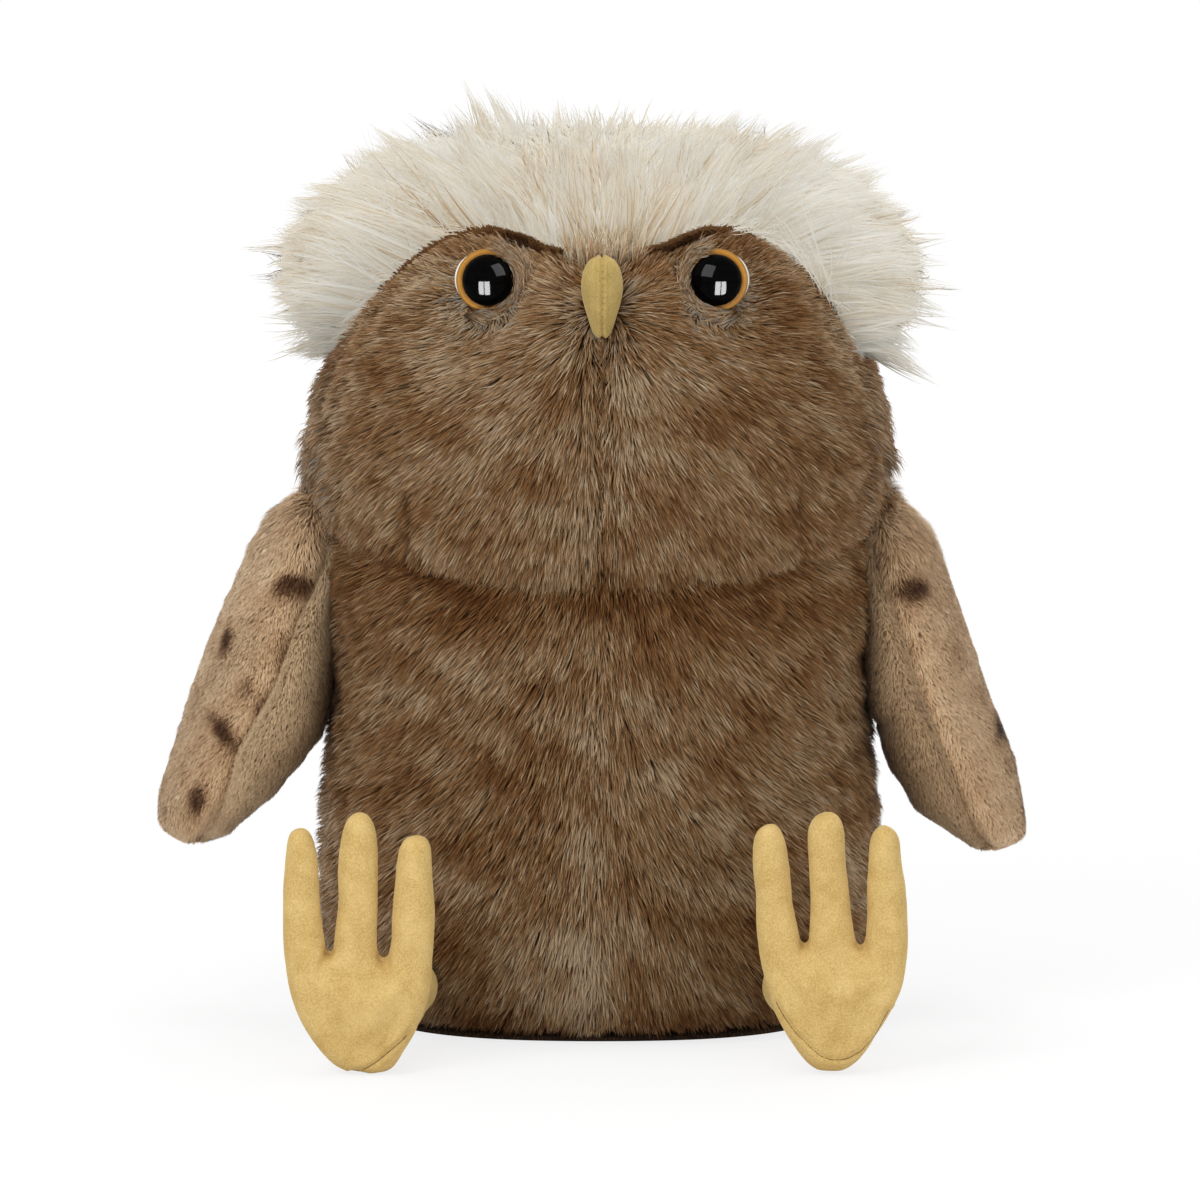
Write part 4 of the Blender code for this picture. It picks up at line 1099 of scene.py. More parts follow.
def wing(side):
    """A stuffed wing: backing, spotted pile outside, plain pile inside."""
    name = sides[side]
    long, half_thickness, half_depth, depth = 0.1110, 0.0205, 0.0350, 1.7 * mm
    place = Matrix.Translation((side * 0.0880, 0.0060, 0.1550))
    place = place @ Euler((0.0, -side * math.radians(15), -side * math.radians(12))).to_matrix().to_4x4()
    inverse = np.array(place.inverted())
    bend = {-1: 5.5 * mm, 1: 0.5 * mm}[side]
    rings = [(
        -long + depth + up * (long - 2 * depth), thick * half_thickness - depth, deep * half_depth - depth,
        deep * half_depth - depth, -side * bow * half_thickness + side * bend * (1 - up) ** 2,
    ) for up, thick, deep, bow in wing_shares]
    body = soft_form(f"wing_{name}_backing", rings, 16, 2.0, 3, tan_backing)
    body.data.transform(place)
    fit_wing(body, side)
    wing_tree = tree_of(body)
    hits = [photo_hit(wing_tree, *corner)[0] for corner in wing_seams[side]]
    seam = np.array(sorted(tuple((place.inverted() @ spot).zx) for spot in hits if spot is not None))

    def past_seam(points):
        """Sideways distance outwards from the seam between the wing's panels."""
        own = points @ inverse[:3, :3].T + inverse[:3, 3]
        return side * (own[:, 0] - np.where(own[:, 1] < 0, np.interp(own[:, 2], seam[:, 0], seam[:, 1]), 0.0)), own

    moved, outward = points_of(body.data), normals_of(body.data)
    past, own = past_seam(moved)
    groove = bell(past, 0, 2.6 * mm) * 2.8 * mm * (np.abs(own[:, 1]) > 0.004)
    moved = moved - outward * groove[:, None]
    least_gap = 2.5
    for other in (torso_tree, head_tree):
        for index, point in enumerate(moved):
            spot, normal, _, _ = other.find_nearest(Vector(point))
            if (Vector(point) - spot).dot(normal) < least_gap * mm:
                moved[index] = np.array(spot + normal * least_gap * mm)
    set_points(body.data, moved)

    roots, normals = scatter(body.data, 110000, 81 + side)
    past, own = past_seam(roots)
    dice = np.random.default_rng(84 + side)
    count = len(roots)
    flow = -np.array(place)[:3, 2] + 0.22 * drift(roots, 18 * mm, 90) + dice.normal(0.0, 0.16, (count, 3))
    lay = unit(laid_flat(flow, normals))
    outer = past > 0
    at_seam = bell(past, 0, 1.5 * mm)
    top = ease(own[:, 2], -0.030, -0.004)
    length = dice.uniform(1.5, 2.6, count) * mm * (1 - 0.3 * at_seam) * (1 + 1.6 * top)
    rise = dice.uniform(1.2, 1.9, count) * mm * (1 - 0.4 * at_seam) * (1 + 1.2 * top)
    width = dice.uniform(0.22, 0.34, count) * mm
    tone = 0.70 + 0.10 * patches(roots, 16 * mm, 101) + 0.08 * patches(roots, 5 * mm, 102)
    # darker along the panels' seam and beside it on the outer panel: painted shade in the groove, with mottled cloth
    tone = tone + dice.normal(0.0, 0.10, count) - 0.20 * at_seam - 0.10 * bell(past, 5 * mm, 6 * mm)
    across, down = in_photo(roots)
    ragged = 1 + 0.35 * patches(roots, 5 * mm, 104)
    ahead = 1 - ease(normals[:, 1], -0.05, 0.25)

    def mark(along, over):
        """A dark mark with a ragged edge, from shares of its half sizes."""
        return np.exp(-(along ** 2 + over ** 2) * ragged * 0.9)

    for x, y, wide, tall, turn, dark in photo_spots[side]:
        dx, dy = across - x, down - y
        a, b = dx * math.cos(turn) + dy * math.sin(turn), -dx * math.sin(turn) + dy * math.cos(turn)
        tone = tone - dark * (mark(a / wide, b / tall) * ahead)
    for y, z, wide, tall in outer_spots:
        tone = tone - 0.62 * mark((own[:, 1] - y) / wide, (own[:, 2] - z) / tall) * (1 - ahead)
    golden_top = top * bell(np.abs(roots[:, 0]), 0.082, 0.008)
    plain = (0.60 if side < 0 else 0.34) + 0.08 * patches(roots, 12 * mm, 103) + dice.normal(0.0, 0.10, count)
    # painted shade: the inner pile darkens away from the seam, towards the body
    plain = plain - 0.36 * ease(-past, 8 * mm, 22 * mm)
    tone = np.clip(np.where(outer, tone, plain) - 0.15 * golden_top, 0.0, 1.0)
    for part, chosen, surface, slot in (
        ("outer", outer, spotted_fibre, "wing_spotted_pile"), ("inner", ~outer, plain_fibre, "wing_plain_pile"),
    ):
        dress(
            f"wing_{name}_{part}_pile", f"wing_{name}_{part}_panel", slot, surface, f"wing_{name}", chosen,
            860 + 10 * side, (roots, normals, lay, length, rise, width, tone), bundle=5, pull=0.10, curl=0.0002,
            soften=0.85, turn=0.18,
        )
    belong(body, f"wing_{name}", (f"wing_{name}_stuffing",))


# Feet, legs and beak: sueded microfibre cloth

def sueded_surface(name, dark, light, grain=0.55 * mm):
    """Sueded microfibre: a short brushed nap, its colour broken up by fine
    grain. The real grain is near 0.2 mm and is drawn coarser to show."""
    surface, tree, shader = new_surface(name)
    place = add(tree, "ShaderNodeTexCoord").outputs["Object"]
    fine = add(tree, "ShaderNodeTexNoise", {"Vector": place, "Scale": 1 / grain, "Detail": 3.0, "Roughness": 0.7})
    broad = add(tree, "ShaderNodeTexNoise", {"Vector": place, "Scale": 1 / (7 * mm), "Detail": 3.0})
    both = add(tree, "ShaderNodeMath", {0: broad.outputs["Fac"], 1: 0.35}, operation="MULTIPLY")
    both = add(tree, "ShaderNodeMath", {0: fine.outputs["Fac"], 1: 0.65, 2: both.outputs[0]}, operation="MULTIPLY_ADD")
    colour = add(tree, "ShaderNodeValToRGB", {"Fac": both.outputs[0]}, stops=((0.36, dark), (0.62, light)))
    bump = add(tree, "ShaderNodeBump", {"Height": fine.outputs["Fac"], "Strength": 0.55, "Distance": 0.25 * mm})
    plug(tree, shader, {
        "Base Color": colour.outputs["Color"], "Normal": bump.outputs["Normal"], "Roughness": 0.92,
        "Specular IOR Level": 0.15, "Sheen Weight": 0.35, "Sheen Roughness": 0.4, "Sheen Tint": linear("F2DFA8"),
    })
    return surface


def thread_surface(name, dark, light):
    """Twisted polyester sewing thread."""
    surface, tree, shader = new_surface(name)
    place = add(tree, "ShaderNodeTexCoord").outputs["Object"]
    twist = add(tree, "ShaderNodeTexWave", {"Vector": place, "Scale": 1 / (2 * mm), "Distortion": 2.0})
    colour = add(tree, "ShaderNodeValToRGB", {"Fac": twist.outputs["Fac"]}, stops=((0.0, dark), (1.0, light)))
    plug(tree, shader, {"Base Color": colour.outputs["Color"], "Roughness": 0.6})
    return surface


sueded_cloth = sueded_surface("sueded_microfibre", "B69556", "D6B97C")
beak_cloth = sueded_surface("sueded_microfibre_beak", "96804A", "BBA164", 0.5 * mm)
tan_thread = thread_surface("polyester_thread_tan", "6E5328", "8C6C38")


def tube(build, path, radii, around=16):
    """A closed tube with round ends along a path, added to a mesh in making."""
    path = [Vector(point) for point in path]
    first, last = (path[0] - path[1]).normalized(), (path[-1] - path[-2]).normalized()

    def cap(end, out, radius, ahead, steps):
        """Rings of a round end."""
        angles = [step * math.pi / 8 for step in steps]
        return [(end + out * radius * math.sin(angle), radius * math.cos(angle), ahead) for angle in angles]

    rows = cap(path[0], first, radii[0], -first, (3, 2, 1))
    for index, point in enumerate(path):
        ahead = path[min(index + 1, len(path) - 1)] - path[max(index - 1, 0)]
        rows.append((point, radii[index], ahead.normalized()))
    rows += cap(path[-1], last, radii[-1], last, (1, 2, 3))
    loops = []
    for centre, radius, ahead in rows:
        turned_to = ahead.to_track_quat("Z", "Y")
        loops.append([build.verts.new(centre + turned_to @ Vector((x, y, 0.0))) for x, y in circle(radius, around)])
    skin(build, loops)


def stitch(build, start, end, thick, thin):
    """One stitch between two spots, thin at its ends."""
    tube(build, [start, (start + end) / 2, end], [thin, thick, thin], 8)


def sewn(name, build, body):
    """The stitches in making as one piece of thread."""
    piece = new_object(name, build, tan_thread)
    piece.data.shade_smooth()
    belong(piece, body)


# Outline of each foot in the photograph
foot_outlines = {
    -1: (
        (299.6, 826.6), (291, 829), (285.8, 836), (284.2, 855), (284.2, 875), (282.3, 901), (281.5, 924), (282.3, 948),
        (284.8, 972), (289.8, 994), (297.7, 1015), (307.5, 1035), (321.4, 1055), (337.2, 1069), (355, 1077.5),
        (368.8, 1080), (382.6, 1077.5), (394.5, 1067), (406.4, 1049), (416.2, 1031), (425, 1009), (431, 988), (434, 964),
        (435.6, 938), (435, 912), (433.6, 885), (433, 859), (432.5, 844), (426.1, 835.5), (416.2, 833.5), (404.4, 837.4),
        (398.1, 849), (395.5, 873), (393.5, 901), (390.9, 928), (387.6, 953), (383.6, 959), (379.5, 953), (377.7, 928),
        (377.7, 901), (378.1, 873), (378.3, 845), (375.7, 826), (368.8, 815), (359.9, 811.3), (349.1, 815), (341.5, 827),
        (339.2, 845), (337.6, 873), (336.2, 901), (334.8, 928), (332.8, 949), (329.3, 954), (326.3, 949), (323, 928),
        (321, 901), (319, 875), (316.4, 849), (312.5, 835), (306.6, 828),
    ),
    1: (
        (768.7, 821.6), (757.8, 827.5), (752.3, 839), (751.9, 855), (753.4, 875), (754.8, 897), (755.8, 920),
        (756.8, 944), (760.8, 966), (765, 982), (771, 1002), (779, 1023), (791, 1045), (806, 1064), (818, 1074),
        (829, 1078.9), (841, 1075.5), (853, 1066), (866, 1051.5), (882.3, 1027), (894.2, 1007), (902.1, 988),
        (907, 966), (909, 944), (909, 924), (907.6, 903), (905.6, 879), (903, 859), (901.7, 843), (898.1, 832.5),
        (890.2, 826.6), (881.3, 825.2), (874.4, 830.5), (868.5, 841), (866.5, 859), (866.5, 879), (866.5, 901),
        (866.1, 924), (864.5, 942), (860.6, 947), (856.6, 942), (853.6, 924), (851.1, 901), (848.7, 875), (847.1, 849),
        (844.7, 829.5), (839.8, 816), (828.9, 810.8), (817.1, 814), (809.2, 823), (806.8, 839), (808.2, 861),
        (809.2, 885), (809.6, 909), (810.2, 930), (808.2, 942), (804.2, 945), (800.3, 940), (797.3, 928), (794.3, 909),
        (792.4, 885), (789.4, 861), (787.4, 843), (782.5, 829.5), (776.6, 822.6),
    ),
}
# Folds below the gaps between the toes, and sewn lines, in the photograph
fold_lines = {
    -1: (((329, 951), (323, 966), (317, 982)), ((383, 956), (388, 974), (392, 990))),
    1: (((804, 942), (803, 955), (801, 972)), ((861, 944), (866, 958), (870, 974))),
}
stitch_lines = {
    -1: ((352, 1072), (365, 1069), (378, 1061), (391, 1050), (403, 1040), (411, 1030)),
    1: (
        (776, 1002), (784, 1017), (795, 1032), (808, 1045), (820, 1056), (831, 1060), (846, 1059.5), (860, 1052),
        (874, 1037), (889, 1009),
    ),
}
foot_middle_y = -0.1020


def cushion(name, outline, plane_y, edge_radius, extra, surface, spacing=0.7 * mm):
    """A stuffed form between two flat panels, from its outline in the photograph."""
    corners = []
    for across, down in outline:
        origin, direction = photo_ray(across, down)
        spot = origin + direction * ((plane_y - origin.y) / direction.y)
        corners.append((spot.x, max(spot.z, 0.6 * mm)))
    edge = np.array(corners)
    for _ in range(2):
        after = np.roll(edge, -1, axis=0)
        edge = np.stack((edge * 0.75 + after * 0.25, edge * 0.25 + after * 0.75), axis=1).reshape(-1, 2)
    start, end = edge, np.roll(edge, -1, axis=0)
    low, high = edge.min(axis=0) - spacing, edge.max(axis=0) + spacing
    wide, tall = (np.ceil((high - low) / spacing).astype(int) + 1)
    columns, rows = low[0] + np.arange(wide) * spacing, low[1] + np.arange(tall) * spacing
    flat = np.stack(np.meshgrid(columns, rows, indexing="ij"), axis=-1).reshape(-1, 2)
    # a grid point is inside where a level line from it crosses the outline an odd number of times
    run = end - start
    crossing = (start[None, :, 1] > flat[:, None, 1]) != (end[None, :, 1] > flat[:, None, 1])
    level = np.where(np.abs(run[:, 1]) < 1e-12, 1e-12, run[:, 1])
    meets = start[None, :, 0] + (flat[:, None, 1] - start[None, :, 1]) / level[None] * run[None, :, 0]
    inside = (crossing & (flat[:, None, 0] < meets)).sum(axis=1) % 2 == 1
    share = ((flat[:, None] - start[None]) * run[None]).sum(axis=2) / np.maximum((run ** 2).sum(axis=1), 1e-16)[None]
    nearest = start[None] + np.clip(share, 0, 1)[:, :, None] * run[None]
    reach = np.linalg.norm(flat[:, None] - nearest, axis=2)
    depth = np.where(inside, reach.min(axis=1), 0.0)
    placed = np.where(inside[:, None], flat, nearest[np.arange(len(flat)), reach.argmin(axis=1)])
    thick = np.sqrt(np.maximum(edge_radius ** 2 - (edge_radius - np.minimum(depth, edge_radius)) ** 2, 0.0))
    thick = thick + extra * ease(depth, edge_radius * 0.9, edge_radius * 2.6)
    inside, placed, thick = inside.reshape(wide, tall), placed.reshape(wide, tall, 2), thick.reshape(wide, tall)
    build = bmesh.new()
    front, back = {}, {}

    def corner(i, j, ahead):
        """The vertex of a grid point on the front or the back; the edge is shared."""
        kept = front if ahead or not inside[i, j] else back
        if (i, j) not in kept:
            x, z = placed[i, j]
            kept[i, j] = build.verts.new((x, plane_y - thick[i, j] if ahead else plane_y + thick[i, j], z))
        return kept[i, j]

    for i in range(wide - 1):
        for j in range(tall - 1):
            ring = ((i, j), (i + 1, j), (i + 1, j + 1), (i, j + 1))
            if any(inside[spot] for spot in ring):
                build.faces.new([corner(*spot, True) for spot in ring])
                build.faces.new([corner(*spot, False) for spot in ring[::-1]])
    bmesh.ops.remove_doubles(build, verts=build.verts, dist=0.05 * mm)
    bmesh.ops.recalc_face_normals(build, faces=build.faces)
    obj = new_object(name, build, surface)
    cloth = obj.modifiers.new("one_cloth", "REMESH")
    cloth.mode = "VOXEL"
    cloth.voxel_size = 0.65 * mm
    smooth = obj.modifiers.new("soft", "SMOOTH")
    smooth.factor = 0.5
    smooth.iterations = 10
    finished_mesh(obj)
    obj.data.materials.clear()
    obj.data.materials.append(surface)
    return obj


def stitches(name, body, surface_tree, line, spacing=2.1 * mm, long=1.15 * mm, thick=0.22 * mm):
    """A row of sewn stitches laid on a surface along a line in the photograph."""
    spots = []
    for (x0, y0), (x1, y1) in zip(line, line[1:]):
        steps = max(2, int(math.hypot(x1 - x0, y1 - y0)))
        for step in range(steps):
            spot, normal = photo_hit(surface_tree, x0 + (x1 - x0) * step / steps, y0 + (y1 - y0) * step / steps)
            if spot is not None:
                spots.append(spot - normal * 0.08 * mm)
    build = bmesh.new()
    walked, start = 0.0, None
    for before, after in zip(spots, spots[1:]):
        if start is None:
            start = before
        walked += (after - before).length
        if walked >= long and (after - start).length > 0.5 * long:
            stitch(build, start, after, thick, thick * 0.7)
            start, walked = None, long - spacing
        if start is None and walked >= 0:
            start = after
    sewn(name, build, body)


def foot(side):
    """A stuffed foot of sueded cloth: a sole with three toes, a back, a leg."""
    name = sides[side]
    body = f"leg_{name}"
    cloth = cushion(f"foot_{name}_cloth", foot_outlines[side], foot_middle_y, 5.7 * mm, 2.6 * mm, sueded_cloth)
    own, outward = points_of(cloth.data), normals_of(cloth.data)
    across, down = in_photo(own)
    ahead = outward[:, 1] < 0
    sink = 0.35 * mm * bell(own[:, 1], foot_middle_y, 0.8 * mm)
    for line in fold_lines[side]:
        gap, along = line_gap(across, down, line)
        sink = np.where(ahead, np.maximum(sink, 1.5 * mm * bell(gap, 0, 4.5) * (1 - along) ** 0.7), sink)
    gap, _ = line_gap(across, down, stitch_lines[side])
    sink = np.where(ahead, sink + 0.45 * mm * bell(gap, 0, 2.2) - 0.25 * mm * bell(gap, 5, 3), sink)
    sink = sink + 0.35 * mm * patches(own, 9 * mm, 120 + side)
    on_floor(cloth.data, own - outward * sink[:, None])
    nodes = [f"foot_{name}_{part}" for part in ("front_panel", "back_panel", "stuffing")]
    belong(cloth, body, nodes)
    stitches(f"foot_{name}_stitches", body, tree_of(cloth), stitch_lines[side])

    hip = Vector((side * 0.0575, -0.0590, 0.0190))
    ankle = Vector((side * 0.0690, foot_middle_y + 0.004, 0.0135))
    build = bmesh.new()
    points = [hip.lerp(ankle, step / 8) for step in range(9)]
    radii = [0.0092 + 0.0020 * (step / 8) - 0.0004 * math.sin(step * 1.3) for step in range(9)]
    tube(build, points, radii, 24)
    leg = subdivided(new_object(f"leg_{name}_cloth", build, sueded_cloth), 2)
    on_floor(leg.data, points_of(leg.data))
    belong(leg, body, (f"leg_{name}",))


def beak():
    """Two halves of sueded cloth, sewn along a raised seam down the middle."""
    rows = ring_rows(beak_shares, 0.2170, 0.2400, 0.0063, 0.0100, 0.0110)
    form = soft_form("beak_cloth", rows, 16, 2.0, 3, beak_cloth)
    own, outward = points_of(form.data), normals_of(form.data)
    edge = np.abs(own[:, 0])
    ridge = 0.40 * mm * bell(edge, 1.1 * mm, 0.6 * mm) - 0.45 * mm * bell(edge, 0, 0.35 * mm)
    set_points(form.data, own + outward * ridge[:, None] + np.array((middle_x, -0.0640, 0.0)))
    belong(form, trunk, ("beak_left_half", "beak_right_half", "beak_stuffing"))
    form_tree = tree_of(form)
    build = bmesh.new()
    for step, slip in enumerate(np.random.default_rng(5).normal(0.0, 0.5, 11)):
        hits = [photo_hit(form_tree, across, 266 + step * 6.3 + slip) for across in (602.0, 605.2)]
        ends = [spot - normal * 0.06 * mm for spot, normal in hits if spot is not None]
        if len(ends) == 2:
            stitch(build, *ends, 0.16 * mm, 0.12 * mm)
    sewn("beak_stitches", build, trunk)


for side in sides:
    wing(side)
    foot(side)
beak()


# Eyes

def dome_surface():
    """Polished black ABS, injection moulded: deep gloss with faint rub marks."""
    surface, tree, shader = new_surface("abs_black_moulded")
    place = add(tree, "ShaderNodeTexCoord").outputs["Object"]
    marks = add(tree, "ShaderNodeTexNoise", {"Vector": place, "Scale": 1 / (1.5 * mm), "Detail": 5.0}).outputs["Fac"]
    rough = add(tree, "ShaderNodeMapRange", {"Value": marks, "To Min": 0.03, "To Max": 0.09})
    colour = add(tree, "ShaderNodeValToRGB", {"Fac": marks}, stops=((0.3, "020202"), (0.7, "060505")))
    plug(tree, shader, {
        "Base Color": colour.outputs["Color"], "Roughness": rough.outputs["Result"], "Specular IOR Level": 0.05,
        "IOR": 1.28,
    })
    return surface


def iris_surface():
    """Amber acetal disc: a painted shadow of the dome along its inner edge, darker at its rim, with a fine grain."""
    surface, tree, shader = new_surface("acetal_amber_moulded")
    place = add(tree, "ShaderNodeTexCoord").outputs["Object"]
    out = add(tree, "ShaderNodeVectorMath", {0: place}, operation="LENGTH")
    share = add(tree, "ShaderNodeMapRange", {"Value": out.outputs["Value"], "From Min": 6.6 * mm, "From Max": 9.6 * mm})
    colour = add(tree, "ShaderNodeValToRGB", {"Fac": share.outputs["Result"]}, stops=(
        (0.0, "2E1A06"), (0.25, "8A5A12"), (0.7, "C08A26"), (1.0, "7A5010"),
    ))
    grain = add(tree, "ShaderNodeTexNoise", {"Vector": place, "Scale": 1 / (0.8 * mm), "Detail": 3.0})
    tint = add(tree, "ShaderNodeMix", {
        0: grain.outputs["Fac"], 6: colour.outputs["Color"], 7: linear("E0CCA0"),
    }, data_type="RGBA", blend_type="MULTIPLY")
    plug(tree, shader, {"Base Color": tint.outputs[2], "Roughness": 0.32})
    return surface


def washer_surface():
    """Natural nylon, moulded: milky, with a faint flow pattern."""
    surface, tree, shader = new_surface("nylon_natural_moulded")
    place = add(tree, "ShaderNodeTexCoord").outputs["Object"]
    cloud = add(tree, "ShaderNodeTexNoise", {"Vector": place, "Scale": 1 / (4 * mm), "Detail": 2.0})
    colour = add(tree, "ShaderNodeValToRGB", {"Fac": cloud.outputs["Fac"]}, stops=((0.3, "D8D8D2"), (0.7, "ECECE8")))
    plug(tree, shader, {"Base Color": colour.outputs["Color"], "Roughness": 0.4})
    return surface


def turned(name, profile, surface, around=64):
    """A turned piece from its outline in mm: radius and height, top first."""
    build = bmesh.new()
    loops = [
        [build.verts.new((x, y, height * mm)) for x, y in (circle(radius * mm, around) if radius else ((0.0, 0.0),))]
        for radius, height in profile
    ]
    for upper, lower in zip(loops, loops[1:]):
        for step in range(around):
            after = (step + 1) % around
            if len(upper) == 1:
                build.faces.new((upper[0], lower[step], lower[after]))
            elif len(lower) == 1:
                build.faces.new((upper[step], lower[0], upper[after]))
            else:
                build.faces.new((upper[step], lower[step], lower[after], upper[after]))
    bmesh.ops.remove_doubles(build, verts=build.verts, dist=0.001 * mm)
    bmesh.ops.recalc_face_normals(build, faces=build.faces)
    piece = new_object(name, build, surface)
    piece.data.shade_smooth()
    return piece


black_plastic, amber_plastic, washer_plastic = dome_surface(), iris_surface(), washer_surface()

dome_radius, dome_height = 7.75, 4.8
dome_profile = [(0.0, 5.6)]
for step in range(1, 17):
    angle = step * math.pi / 32
    dome_profile.append((dome_radius * math.sin(angle), 0.8 + dome_height * math.cos(angle)))
dome_profile += [(dome_radius, 0.3), (7.55, 0.02), (2.0, 0.0), (2.0, -10.6), (1.6, -11), (0.0, -11)]
disc_profile = (
    (2.4, -0.35), (7.0, -0.35), (8.9, -0.3), (9.25, -0.45), (9.4, -0.8), (9.25, -1.15), (8.9, -1.3), (2.4, -1.3),
    (2.4, -0.35),
)
# the washer locks the shank under the knitted backing, out of sight
washer_profile = ((2.1, -8.2), (7.6, -8.2), (8.2, -8.8), (7.6, -9.6), (2.1, -9.6), (2.1, -8.2))


def eye(side):
    """A safety eye: polished dome with its shank, amber disc and locking washer."""
    name = sides[side]
    for piece_name, profile, surface, node, slot in (
        ("polished_dome", dome_profile, black_plastic, "dome", "black_plastic"),
        ("amber_disc", disc_profile, amber_plastic, "iris_disc", "amber_plastic"),
        ("locking_washer", washer_profile, washer_plastic, "washer", "washer_plastic"),
    ):
        piece = turned(f"eye_{name}_{piece_name}", profile, surface)
        turn = eye_axes[side].to_track_quat("Z", "Y").to_matrix().to_4x4()
        piece.matrix_world = Matrix.Translation(eye_spots[side]) @ turn
        belong(piece, trunk, (f"eye_{name}_{node}",))


def eyelid_pile():
    """Short grey-brown fibres that lie over the inner and lower edge of each amber disc."""
    dice = np.random.default_rng(171)
    per_side = 1500
    roots, normals, lay = [], [], []
    for side in sides:
        axis = np.array(eye_axes[side])
        across = unit(np.cross((0.0, 0.0, 1.0), axis))
        upward = np.cross(axis, across)
        inward = -side * np.sign(across[0])
        angle = np.radians(dice.uniform(-125.0, 62.0, per_side))
        radius = dice.uniform(9.7, 12.8, per_side) * mm
        ray = np.cos(angle)[:, None] * across * inward + np.sin(angle)[:, None] * upward
        tangent = -np.sin(angle)[:, None] * across * inward + np.cos(angle)[:, None] * upward
        roots.append(np.array(eye_spots[side]) + ray * radius[:, None] - axis * 2.6 * mm)
        normals.append(np.repeat(axis[None], per_side, axis=0))
        from_end = np.minimum(angle + math.radians(125), math.radians(62) - angle)
        edge = np.clip(from_end / math.radians(25), 0.0, 1.0)
        lay.append(unit(tangent - ray * (0.62 * edge)[:, None] + dice.normal(0.0, 0.24, (per_side, 3))))
    roots, normals, lay = (np.concatenate(values) for values in (roots, normals, lay))
    count = len(roots)
    frosted, frost = dice.random(count) < 0.45, dice.uniform(0.82, 0.88, count)
    tone = np.where(frosted, frost, np.clip(dice.normal(0.40, 0.18, count), 0, 0.78))
    length, rise, width = (dice.uniform(*limits, count) * mm for limits in ((4.0, 7.5), (3.2, 4.6), (0.24, 0.38)))
    fibres = roots, normals, lay, length, rise, width, tone
    belong(pile("eyelid_pile", brown_fibre, fibres, 172, bundle=5, pull=0.3), trunk)


for side in sides:
    eye(side)
eyelid_pile()


# Base: flat woven cloth under the torso, with a rolled edge

def woven_surface():
    """Plain-weave polyester, dark brown: threads 0.6 mm apart, drawn to show."""
    surface, tree, shader = new_surface("plain_weave_brown")
    place = add(tree, "ShaderNodeTexCoord").outputs["Object"]
    scale = math.pi / (0.6 * mm) / 20
    warp, weft = (
        add(tree, "ShaderNodeTexWave", {"Vector": place, "Scale": scale}, bands_direction=way).outputs["Fac"]
        for way in "XY"
    )
    weave = add(tree, "ShaderNodeMath", {0: warp, 1: weft}, operation="MULTIPLY").outputs[0]
    colour = add(tree, "ShaderNodeValToRGB", {"Fac": weave}, stops=((0.0, "2E1D10"), (1.0, "553C28")))
    bump = add(tree, "ShaderNodeBump", {"Height": weave, "Strength": 0.6, "Distance": 0.15 * mm})
    plug(tree, shader, {"Base Color": colour.outputs["Color"], "Normal": bump.outputs["Normal"], "Roughness": 0.9})
    return surface


def base():
    """The flat cloth that the owl sits on."""
    low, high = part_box("torso_base_panel")
    half_width, front, back = (high.x - low.x) / 2, -low.y, high.y
    rows = ((0.0, 0.90), (0.0, 0.985), (0.12, 1.0), (0.6, 1.0), (1.0, 0.96))
    rings = [(up * high.z, share * half_width, share * front, share * back, 0.0) for up, share in rows]
    panel = soft_form("torso_base_cloth", rings, 32, 2.35, 2, woven_surface())
    own = points_of(panel.data)
    own[:, 2] = np.maximum(own[:, 2], 0.0)
    own[:, 2] -= own[:, 2].min()
    set_points(panel.data, own)
    belong(panel, trunk, ("torso_base_panel",))


base()


# Lamps, world and floor

def aimed(place, target):
    """The rotation of a lamp that looks from a place at a target."""
    return (Vector(target) - Vector(place)).to_track_quat("-Z", "Y").to_euler()


def lamp(name, place, target, size, power):
    """A soft square lamp that looks at a point."""
    data = bpy.data.lights.new(name, "AREA")
    data.shape = "SQUARE"
    data.size = size
    data.energy = power
    obj = new_object(name, data)
    obj.location = place
    obj.rotation_euler = aimed(place, target)
    return obj


owl_middle = (0.0, 0.0, 0.13)
for name, place, size, power in (
    ("key_lamp", (-0.75, -1.15, 1.15), 0.8, 15.0), ("fill_lamp", (1.0, -1.2, 0.5), 1.0, 6.2),
    ("top_lamp", (0.0, 0.1, 1.4), 0.9, 7.0), ("back_lamp", (0.3, 1.2, 0.9), 1.0, 6.5),
):
    lamp(name, place, owl_middle, size, power).visible_glossy = False

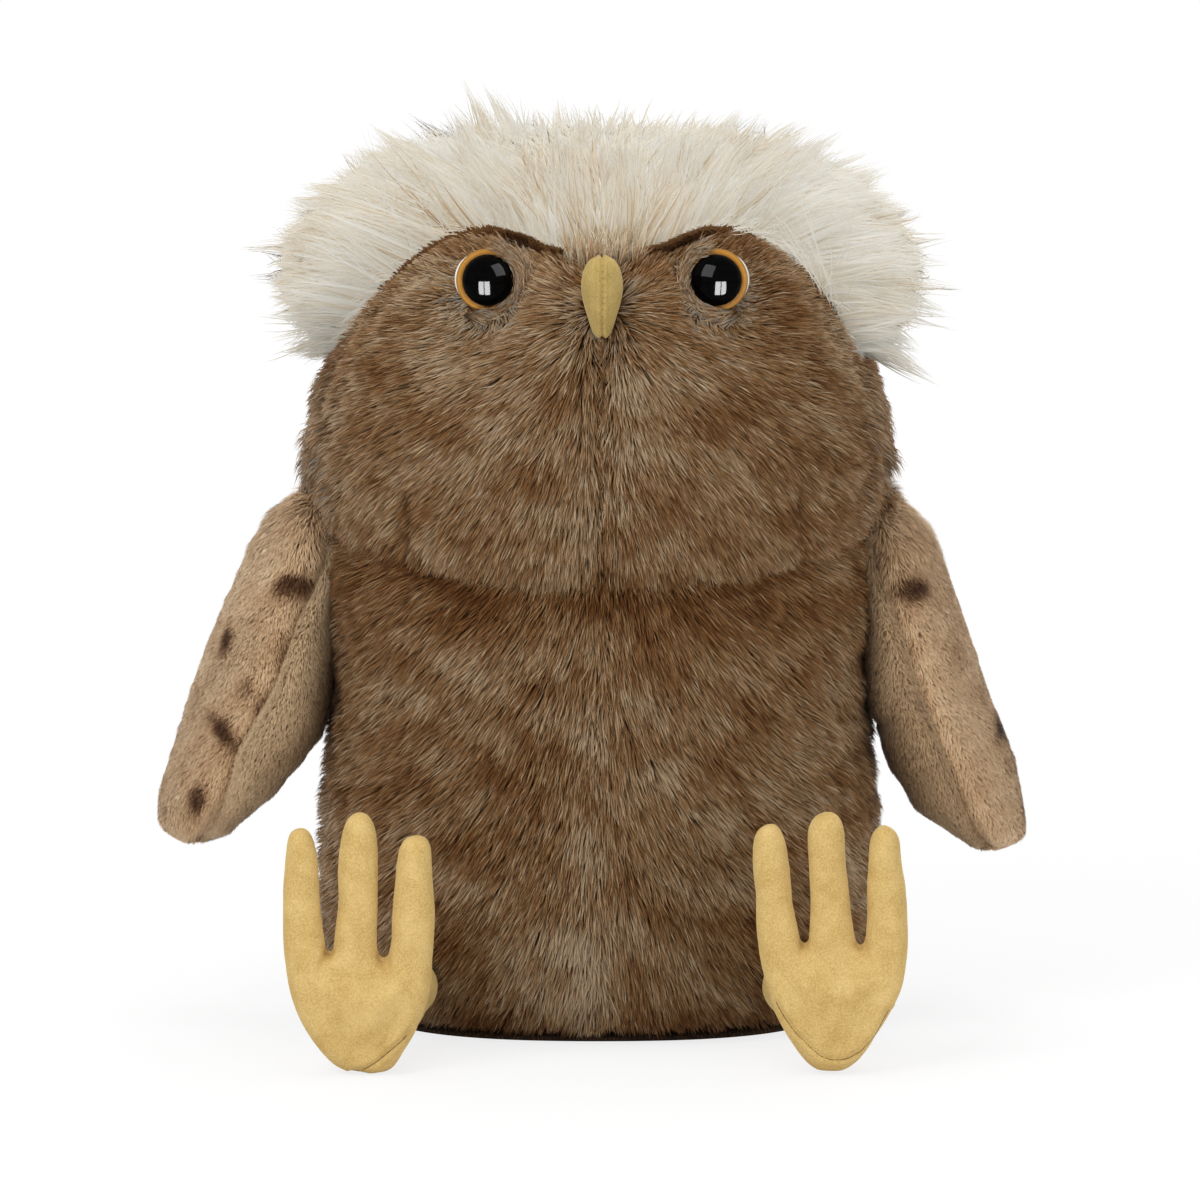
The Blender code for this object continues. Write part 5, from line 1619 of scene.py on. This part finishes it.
# What the polished domes mirror: a window of two panes low in front, a dim softbox above
window_places = {-1: (-0.022, -0.342, 0.128), 1: (0.0394, -0.342, 0.127)}
softbox_places = {-1: (0.219, -0.212, 0.428), 1: (-0.176, -0.270, 0.421)}
for side, name in sides.items():
    polished = bpy.data.collections.new(f"polished_eye_{name}")
    polished.objects.link(bpy.data.objects[f"eye_{name}_polished_dome"])
    spot = eye_spots[side]
    x, y, z = window_places[side]
    mirrored = [lamp(f"softbox_{name}", softbox_places[side], spot, 0.24, 7.0)]
    for index, apart in enumerate((-0.050, 0.050)):
        pane = lamp(f"window_pane_{name}_{index + 1}", (x + apart, y, z), spot, 0.085, 26.0)
        pane.data.shape = "RECTANGLE"
        pane.data.size_y = 0.24
        pane.rotation_euler = aimed((x, y, z), spot)
        mirrored.append(pane)
    for piece in mirrored:
        piece.visible_camera = False
        piece.visible_diffuse = False
        piece.light_linking.receiver_collection = polished

# White to the camera and in mirrors, dimmer as light on the owl
world = bpy.data.worlds.new("studio")
bpy.context.scene.world = world
world.use_nodes = True
tree = world.node_tree
ray = add(tree, "ShaderNodeLightPath").outputs
seen = ray["Is Camera Ray"]
for other in ("Is Glossy Ray", "Is Transmission Ray"):
    seen = add(tree, "ShaderNodeMath", {0: seen, 1: ray[other]}, operation="MAXIMUM").outputs[0]
level = add(tree, "ShaderNodeMapRange", {"Value": seen, "To Min": 0.44, "To Max": 1.0})
plug(tree, tree.nodes["Background"], {"Color": (1.0, 1.0, 1.0, 1.0), "Strength": level.outputs["Result"]})

# White paper that takes the owl's shadow and glows out to the white of the world
surface, tree, shader = new_surface("white_paper_floor")
plug(tree, shader, {"Base Color": (0.9, 0.9, 0.9, 1.0), "Roughness": 0.9})
glow = add(tree, "ShaderNodeEmission", {"Color": (1.0, 1.0, 1.0, 1.0), "Strength": 1.0})
ray = add(tree, "ShaderNodeLightPath").outputs
place = add(tree, "ShaderNodeTexCoord")
out = add(tree, "ShaderNodeVectorMath", {0: place.outputs["Object"]}, operation="LENGTH")
share = add(tree, "ShaderNodeMapRange", {
    "Value": out.outputs["Value"], "From Min": 0.15, "From Max": 0.60, "To Min": 0.80, "To Max": 1.0,
})
amount = add(tree, "ShaderNodeMath", {0: ray["Is Camera Ray"], 1: share.outputs["Result"]}, operation="MULTIPLY")
both = add(tree, "ShaderNodeMixShader", {0: amount.outputs[0], 1: shader.outputs[0], 2: glow.outputs[0]})
plug(tree, tree.nodes["Material Output"], {"Surface": both.outputs[0]})
mesh = bpy.data.meshes.new("floor")
mesh.from_pydata([(-6, -6, 0), (6, -6, 0), (6, 6, 0), (-6, 6, 0)], [], [(0, 1, 2, 3)])
new_object("floor", mesh, surface)

bpy.context.scene.view_settings.view_transform = "Standard"
